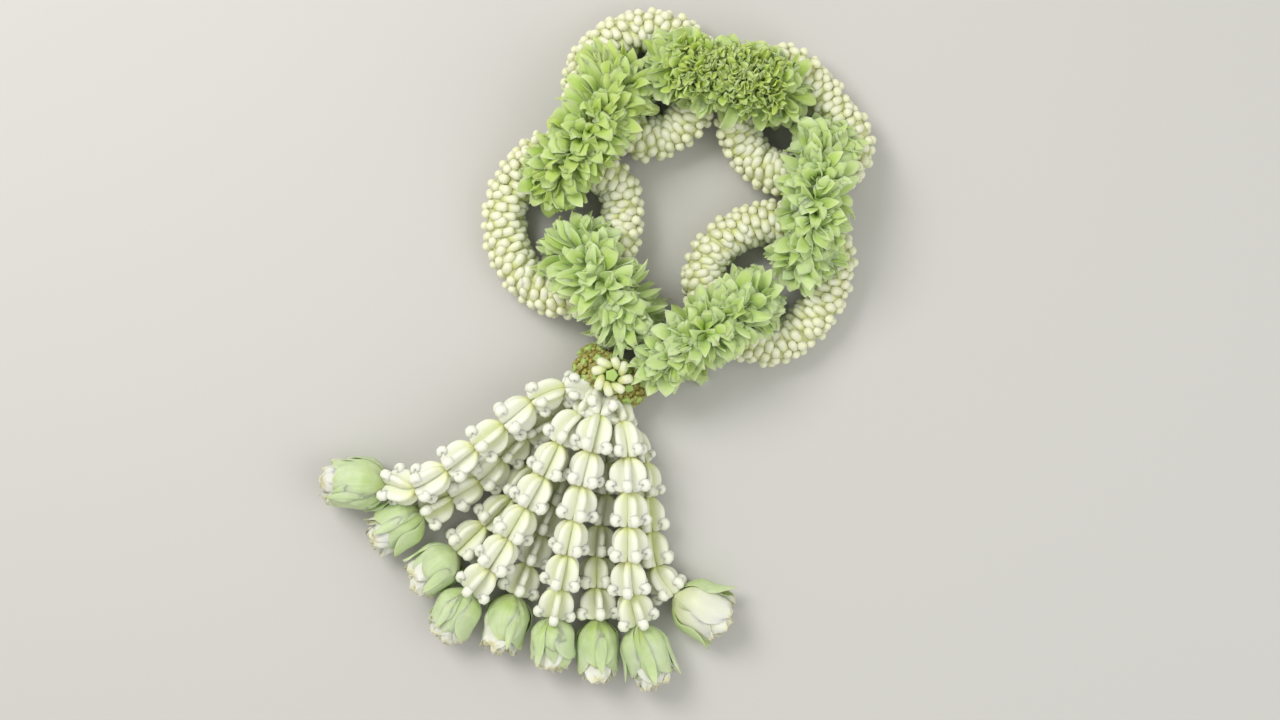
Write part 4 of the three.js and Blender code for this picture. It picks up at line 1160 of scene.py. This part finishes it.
def crownParts(dense, starts, lengths, radius, spin, tints, curlsFrom):
    fins = corona["fins"]
    distances = starts[:, None] + coronaRows * corona["overlap"] * lengths[:, None]
    distances = np.minimum(distances, lengthsAlong(dense)[-1] - 0.5 + coronaRows)
    centres, tangents, side, up = framesAlong(dense, distances)
    angle = (np.arange(fins)[:, None] * 2 * pi / fins - (finShare == 0) * pi / fins).ravel()
    share, sides = np.tile(finShare, fins), np.tile(finSide, fins)
    reach = np.maximum(radius[:, None] * coronaReach, corona["column"])[..., None]
    radial = corona["column"] + (reach - corona["column"]) * share
    plate = corona["plate"] * coronaPlate[:, None] * (radius / corona["radius"])[:, None, None]
    lateral = np.minimum(plate, radial * 0.55) * sides
    turn = angle + spin[:, None, None]
    along = radial * np.cos(turn) - lateral * np.sin(turn)
    above = radial * np.sin(turn) + lateral * np.cos(turn)
    rings = centres[:, :, None] + side[:, :, None] * along[..., None] + up[:, :, None] * above[..., None]
    traits = {
        "grow": np.clip(coronaRows, 0, 1)[None, :, None],
        "across": (share * 0.8)[None, None],
        "tint": tints[:, None, None],
        # Painted shade in the grooves between the fins, stronger on coronas with a larger tint.
        "groove": np.clip(1 - share * 1.8, 0, 1) * (0.1 + 0.9 * tints[:, None, None]),
    }
    crowns = loftPart(rings, np.stack([centres[:, 0], centres[:, -1]], 1), traits)
    # Each fin ends in a knob: its edge runs out, back up and in again as a short curl. The
    # squeezed coronas at the tie have none.
    curled = starts >= curlsFrom
    measures = (starts, lengths, radius, spin, tints)
    starts, lengths, radius, spin, tints = (values[curled] for values in measures)
    places = np.minimum(starts + corona["knobPlace"] * lengths, lengthsAlong(dense)[-1] - 2.5)
    centre, tangent, across, rise = framesAlong(dense, places)
    finTurn = np.arange(fins)[None] * 2 * pi / fins + spin[:, None]
    out = across[:, None] * np.cos(finTurn)[..., None] + rise[:, None] * np.sin(finTurn)[..., None]
    out = out.reshape(-1, 3)
    size = np.repeat(radius / corona["radius"], fins)
    spread = np.repeat(radius, fins) * corona["knobReach"]
    axis = np.repeat(tangent, fins, 0)
    middle = np.repeat(centre, fins, 0) + out * spread[:, None]
    bend = np.radians(corona["curlFrom"] + corona["curlSweep"] * curlRows)[None, :, None]
    arc = (size[:, None] * corona["curl"] * (1 - 0.4 * curlRows))[..., None]
    normal = out[:, None] * np.cos(bend) - axis[:, None] * np.sin(bend)
    path = middle[:, None] + normal * arc
    heads = -out[:, None] * np.sin(bend) - axis[:, None] * np.cos(bend)
    lateral = np.cross(heads, normal)
    ring = np.arange(8) * 2 * pi / 8
    thick = size[:, None] * (0.9 + 0.15 * np.sin(pi * curlRows))
    knobRings = (
        path[:, :, None]
        + normal[:, :, None] * (thick * corona["knob"])[..., None, None] * np.cos(ring)[:, None]
        + lateral[:, :, None] * (thick * corona["knobAcross"])[..., None, None] * np.sin(ring)[:, None]
    )
    traits = {
        "grow": (0.75 + 0.25 * curlRows)[None, :, None],
        "across": np.sin(ring)[None, None] * 0.3,
        "tint": np.repeat(tints, fins)[:, None, None] * 0.4,
    }
    ends = np.stack([path[:, 0] - heads[:, 0] * 0.5, path[:, -1] + heads[:, -1] * 0.5], 1)
    return [crowns, loftPart(knobRings, ends, traits)]


def strandParts(strand, seed):
    random = np.random.default_rng(seed)
    dense = strandRoute(strand)
    starts, lengths, radii = crownPlaces(strand, random)
    count = len(starts)
    spin = pi / 2 + random.normal(0, 0.25, count) + random.integers(0, 2, count) * pi / corona["fins"]
    # The lower row's larger tint is painted yellow-green shade, for strands lying under the upper row; it
    # carries into their grooves and knobs.
    tints = random.random(len(starts)) * 0.7 + (0.3 if strand["row"] == 0 else 0.0)
    curlsFrom = strand.get("curlsFrom", strand["start"] - 1)
    parts = crownParts(dense, starts, lengths, radii, spin, tints, curlsFrom)
    points = pointsAlong(dense, np.linspace(-3, starts[0] + 3, 6))
    return parts + [threadTube(points, corona["threadRadius"])]


for index, strand in enumerate(strands):
    parts = strandParts(strand, 400 + index)
    addPiece(f"strand{index + 1}", parts, coronaMaterial, [f"strand_{index + 1}"])
print("strands made")

# ---- Blooms

bloom = {"tipHeight": 12.0, "tepalRows": 13, "tepalAround": 18, "thickness": 0.5}


def bloomFrame(strand):
    end = strandRoute(strand)[-1]
    tip = np.array([*strand["tip"], bloom["tipHeight"]])
    axis = unit(tip - end)
    side, up = acrossPath(axis[None])
    return {"base": end, "axis": axis, "side": side[0], "up": up[0], "length": np.linalg.norm(tip - end)}


def tepals(place, angles, form, random):
    # Shells wrapped round the bloom's axis. Out from the axis a tepal swells as a sine to its
    # belly, and leans in or out again towards its tip; its half width narrows to the point, and a
    # crease runs down its middle.
    count = len(angles)
    rows = np.linspace(0.02, 0.985, bloom["tepalRows"])
    ring = np.arange(bloom["tepalAround"]) * 2 * pi / bloom["tepalAround"]
    u, lens = np.cos(ring), np.sin(ring)
    v = rows[None, :, None]
    belly = (form["radius"] * (1 + random.normal(0, 0.03, count)))[:, None, None]
    tipOut = (form["tipRadius"] + random.normal(0, form["loose"], count))[:, None, None]
    swell = np.sin(np.minimum(v / 0.42, 1) * pi / 2) ** 0.75
    closing = np.clip((v - 0.42) / 0.58, 0, 1) ** 1.8
    radius = 1.8 + (belly - 1.8) * swell + (tipOut - belly) * closing
    half = form["width"][:, None, None] * np.sin(np.minimum(v / 0.5, 1) * pi / 2 * 0.9 + 0.15)
    half = half * np.cos(np.clip((v - 0.55) / 0.45, 0, 1) * pi / 2) ** form["pointed"]
    wrap = np.minimum(half / np.maximum(radius, 2.5), 1.3) * u
    phase = random.random(count)[:, None, None] * 6
    ripple = random.normal(0, form["ripple"], count)[:, None, None] * u**3 * np.sin(v * 9 + phase)
    frill = form["frill"] * v**3 * np.sin(u * 7 + phase) * 0.8
    rumple = 0.16 * np.sin(v * 17 + phase * 3 + u * 3) * np.sin(u * 6 + phase) * np.sin(v * pi)
    crease = -form["crease"] * (1 - np.abs(u)) ** 2 * np.sin(v * pi)
    edges = form["flare"][:, None, None] * u**2 * v
    reach = radius + bloom["thickness"] * lens * (1.1 - 0.6 * v) + ripple + frill + rumple - crease + edges
    tears = form["ragged"] * v**4 * np.sin(u * 9 + phase) ** 2
    advance = place["length"] * form["reach"][:, None, None] * (v - tears)
    out = place["side"] * np.cos(angles)[:, None] + place["up"] * np.sin(angles)[:, None]
    across = np.cross(out, place["axis"])
    rings = (
        place["base"]
        + place["axis"] * advance[..., None]
        + out[:, None, None] * (reach * np.cos(wrap))[..., None]
        + across[:, None, None] * (reach * np.sin(wrap))[..., None]
    )
    roots = place["base"] + out * 1.0
    tips = rings[:, -1].mean(1) + place["axis"] * 0.3
    traits = {"grow": v, "across": u[None, None], "tint": random.random(count)[:, None, None]}
    return loftPart(rings, np.stack([np.broadcast_to(roots, (count, 3)), tips], 1), traits)


def tepalForm(random, count, radius, tipRadius, width, reach, **settings):
    ones = np.ones(count)
    form = {
        "radius": ones * radius,
        "tipRadius": ones * tipRadius,
        "width": ones * width,
        "reach": reach * (1 + random.normal(0, 0.03, count)),
        "flare": random.normal(0.2, 0.6, count),
        "loose": 0.9,
        "pointed": 0.7,
        "ripple": 0.45,
        "frill": 0.0,
        "crease": 0.5,
        "ragged": 0.0,
    }
    return {**form, **settings}


def bloomParts(strand, place, index, seed):
    random = np.random.default_rng(seed)
    turn = pi / 2 + radians(60) * (index % 2) + random.normal(0, 0.15)
    radius = strand["radius"]
    layers = []
    if "open" in strand:
        # Two tepals have fallen open to the sides and bare the inner petals.
        angles = np.radians(np.array([6.0, 174.0, -30.0, -150.0, -90.0]))
        tipRadius, width = radius * strand["open"], radius * 0.66
        form = tepalForm(random, 5, radius, tipRadius, width, 0.86, pointed=0.7, crease=0.9)
        return [tepals(place, angles, form, random)]
    for inset, reach, shift, tip, width in (
        (0.0, 0.74, 0.0, 0.98, 0.84),
        (0.9, 0.83, 1 / 6, 0.86, 0.82),
        (2.0, 0.79, 1 / 3, 0.8, 0.76),
    ):
        angles = turn + (np.arange(3) / 3 + shift) * 2 * pi + random.normal(0, 0.12, 3)
        form = tepalForm(
            random, 3, radius - inset, radius * tip, radius * width, reach,
            pointed=0.5, crease=0.8, ragged=0.05, flare=random.normal(0.2, 0.7, 3),
        )
        layers.append(tepals(place, angles, form, random))
    bracts = np.radians(np.array(strand.get("bracts", ()) + (random.uniform(60, 120),), float))
    form = tepalForm(random, len(bracts), radius + 0.7, radius + 2.2, 2.6, 0.84, loose=0.6)
    layers.append(tepals(place, bracts, form, random))
    return layers


def heartParts(strand, place, seed):
    random = np.random.default_rng(seed)
    layers = []
    for inset, reach, tip in ((1.6, 0.92, 0.8), (2.8, 0.98, 0.6), (4.4, 0.99, 0.38), (6.0, 1.0, 0.18)):
        angles = random.uniform(0, 2) + np.arange(4) * 2 * pi / 4
        radius = strand["radius"] - inset
        form = tepalForm(
            random, 4, radius, strand["radius"] * tip, radius * 0.9, reach,
            pointed=0.35, frill=1.0, ragged=0.1, ripple=0.9, crease=0.4,
        )
        layers.append(tepals(place, angles, form, random))
    return layers


def collarPart(place):
    # The green cup that the tepals grow from.
    rows = np.array([0.3, 1.2, 2.6, 4.2])
    reach = np.array([1.8, 3.0, 4.4, 4.8])
    ring = np.arange(16) * 2 * pi / 16
    rings = (
        place["base"]
        + place["axis"] * rows[:, None, None]
        + place["side"] * (reach[:, None] * np.cos(ring))[..., None]
        + place["up"] * (reach[:, None] * np.sin(ring))[..., None]
    )
    poles = np.stack([place["base"], place["base"] + place["axis"] * 5])
    return loftPart(rings[None], poles[None], {"grow": np.array(0.02), "tint": np.array(0.2)})


for index, strand in enumerate(strands):
    place = bloomFrame(strand)
    shells = bloomParts(strand, place, index, 500 + index) + [collarPart(place)]
    addPiece(f"bloom{index + 1}Tepals", shells, tepalMaterial, [f"bloom_{index + 1}_tepals"], True)
    hearts = heartParts(strand, place, 600 + index)
    heartNode = f"bloom_{index + 1}_heart"
    addPiece(f"bloom{index + 1}Heart", hearts, heartMaterial, [heartNode], True)
print("blooms made")

# ---- Binding threads

binding = {"radius": 0.45, "turns": 6}


def bindingParts():
    random = np.random.default_rng(700)
    parts = []
    front = tie["middle"] + tieAxis * (1 - tie["halfDepth"])
    for strand in strands:
        start = pointsAlong(strandRoute(strand), np.array([0.6]))[0]
        middle = tie["middle"] + tieAxis * 3 + tieLong * strand["place"] * 2.2
        middle = middle + upward * (strand["row"] - 0.5) * 3
        stops = [front + random.normal(0, 0.8, 3), tie["middle"] - tieAxis * 3, middle, start]
        route = smoothCurve(stops, False, 8)
        parts.append(threadTube(route, binding["radius"]))
    for link in links:
        if "tiedEnd" not in link:
            continue
        leg = pointsOnLink(link, (link["tiedEnd"] * (link["halfLength"] - 1),))[0] + upward * tie["middle"][2]
        towards = unit((tie["middle"] - leg) * np.array([1, 1, 0]))
        for lift in (-1.0, 0.0, 1.0):
            end = leg + towards * 3.6 + upward * lift * 0.9
            stops = [front + upward * lift * 0.5, (front + end) / 2 - upward * 0.4, end]
            route = smoothCurve(stops, False, 6)
            parts.append(threadTube(route, binding["radius"]))
    # A few turns of thread wound flat round the bundle behind the tie.
    knot = tie["middle"] + tieAxis * 10.5
    turn = np.linspace(0, binding["turns"] * 2 * pi, binding["turns"] * 24)
    drift = (turn / turn[-1] - 0.5) * 2.2
    wound = (
        knot
        + tieLong * (7.6 * np.cos(turn))[:, None]
        + upward * (4.1 * np.sin(turn))[:, None]
        + tieAxis * drift[:, None]
    )
    parts.append(threadTube(wound, binding["radius"]))
    ring = np.arange(20) * 2 * pi / 20
    spans = np.array([-1.1, -0.4, 0.4, 1.1])
    rings = (
        knot
        + tieAxis * spans[:, None, None]
        + tieLong * (7.3 * np.cos(ring))[None, :, None]
        + upward * (3.9 * np.sin(ring))[None, :, None]
    )
    ends = np.stack([knot - tieAxis, knot + tieAxis])
    parts.append(loftPart(rings[None], ends[None], {"grow": np.array(0.2)}))
    return parts


addPiece("bindingThreads", bindingParts(), threadMaterial, ["binding_threads"])
print("binding threads made")

# ---- Floor, light and camera

stageLook = {"floor": (0.56, 0.55, 0.53), "floorSize": 40.0}
floorMaterial = bpy.data.materials.new("paleFloor")
floorMaterial.use_nodes = True
floorShader = floorMaterial.node_tree.nodes["Principled BSDF"]
floorShader.inputs["Base Color"].default_value = (*stageLook["floor"], 1.0)
floorShader.inputs["Roughness"].default_value = 0.75
floorMesh = bpy.data.meshes.new("floor")
half = stageLook["floorSize"] / 2
corners = [(-half, -half, 0), (half, -half, 0), (half, half, 0), (-half, half, 0)]
floorMesh.from_pydata(corners, [], [(0, 1, 2, 3)])
floorMesh.materials.append(floorMaterial)
floor = bpy.data.objects.new("floor", floorMesh)
bpy.context.scene.collection.objects.link(floor)

world = bpy.data.worlds.new("studio")
world.use_nodes = True
world.node_tree.nodes["Background"].inputs["Color"].default_value = (1.0, 0.99, 0.95, 1.0)
world.node_tree.nodes["Background"].inputs["Strength"].default_value = 0.66
bpy.context.scene.world = world

lamps = {
    "keyLight": {"place": (-0.55, 0.5, 0.95), "size": 0.55, "power": 8.5, "colour": (1.0, 0.98, 0.95)},
    "fillLight": {"place": (0.8, -0.3, 0.9), "size": 1.0, "power": 4.0, "colour": (0.98, 0.99, 1.0)},
}
lookAt = Vector((0.0216, -0.0048, 0.02))
for name, lamp in lamps.items():
    light = bpy.data.lights.new(name, "AREA")
    light.size = lamp["size"]
    light.energy = lamp["power"]
    light.color = lamp["colour"]
    holder = bpy.data.objects.new(name, light)
    holder.location = lamp["place"]
    holder.rotation_euler = (lookAt - Vector(lamp["place"])).to_track_quat("-Z", "Y").to_euler()
    bpy.context.scene.collection.objects.link(holder)

photoView = {"distance": 0.853, "lens": 50.0}
cameraData = bpy.data.cameras.new("photoCamera")
cameraData.lens = photoView["lens"]
cameraData.sensor_width = 36.0
cameraData.clip_end = 60.0
camera = bpy.data.objects.new("photoCamera", cameraData)
camera.location = lookAt + Vector((0.0, 0.0, photoView["distance"]))
bpy.context.scene.collection.objects.link(camera)
bpy.context.scene.camera = camera
bpy.context.scene.view_settings.view_transform = "Standard"
print("stage made")
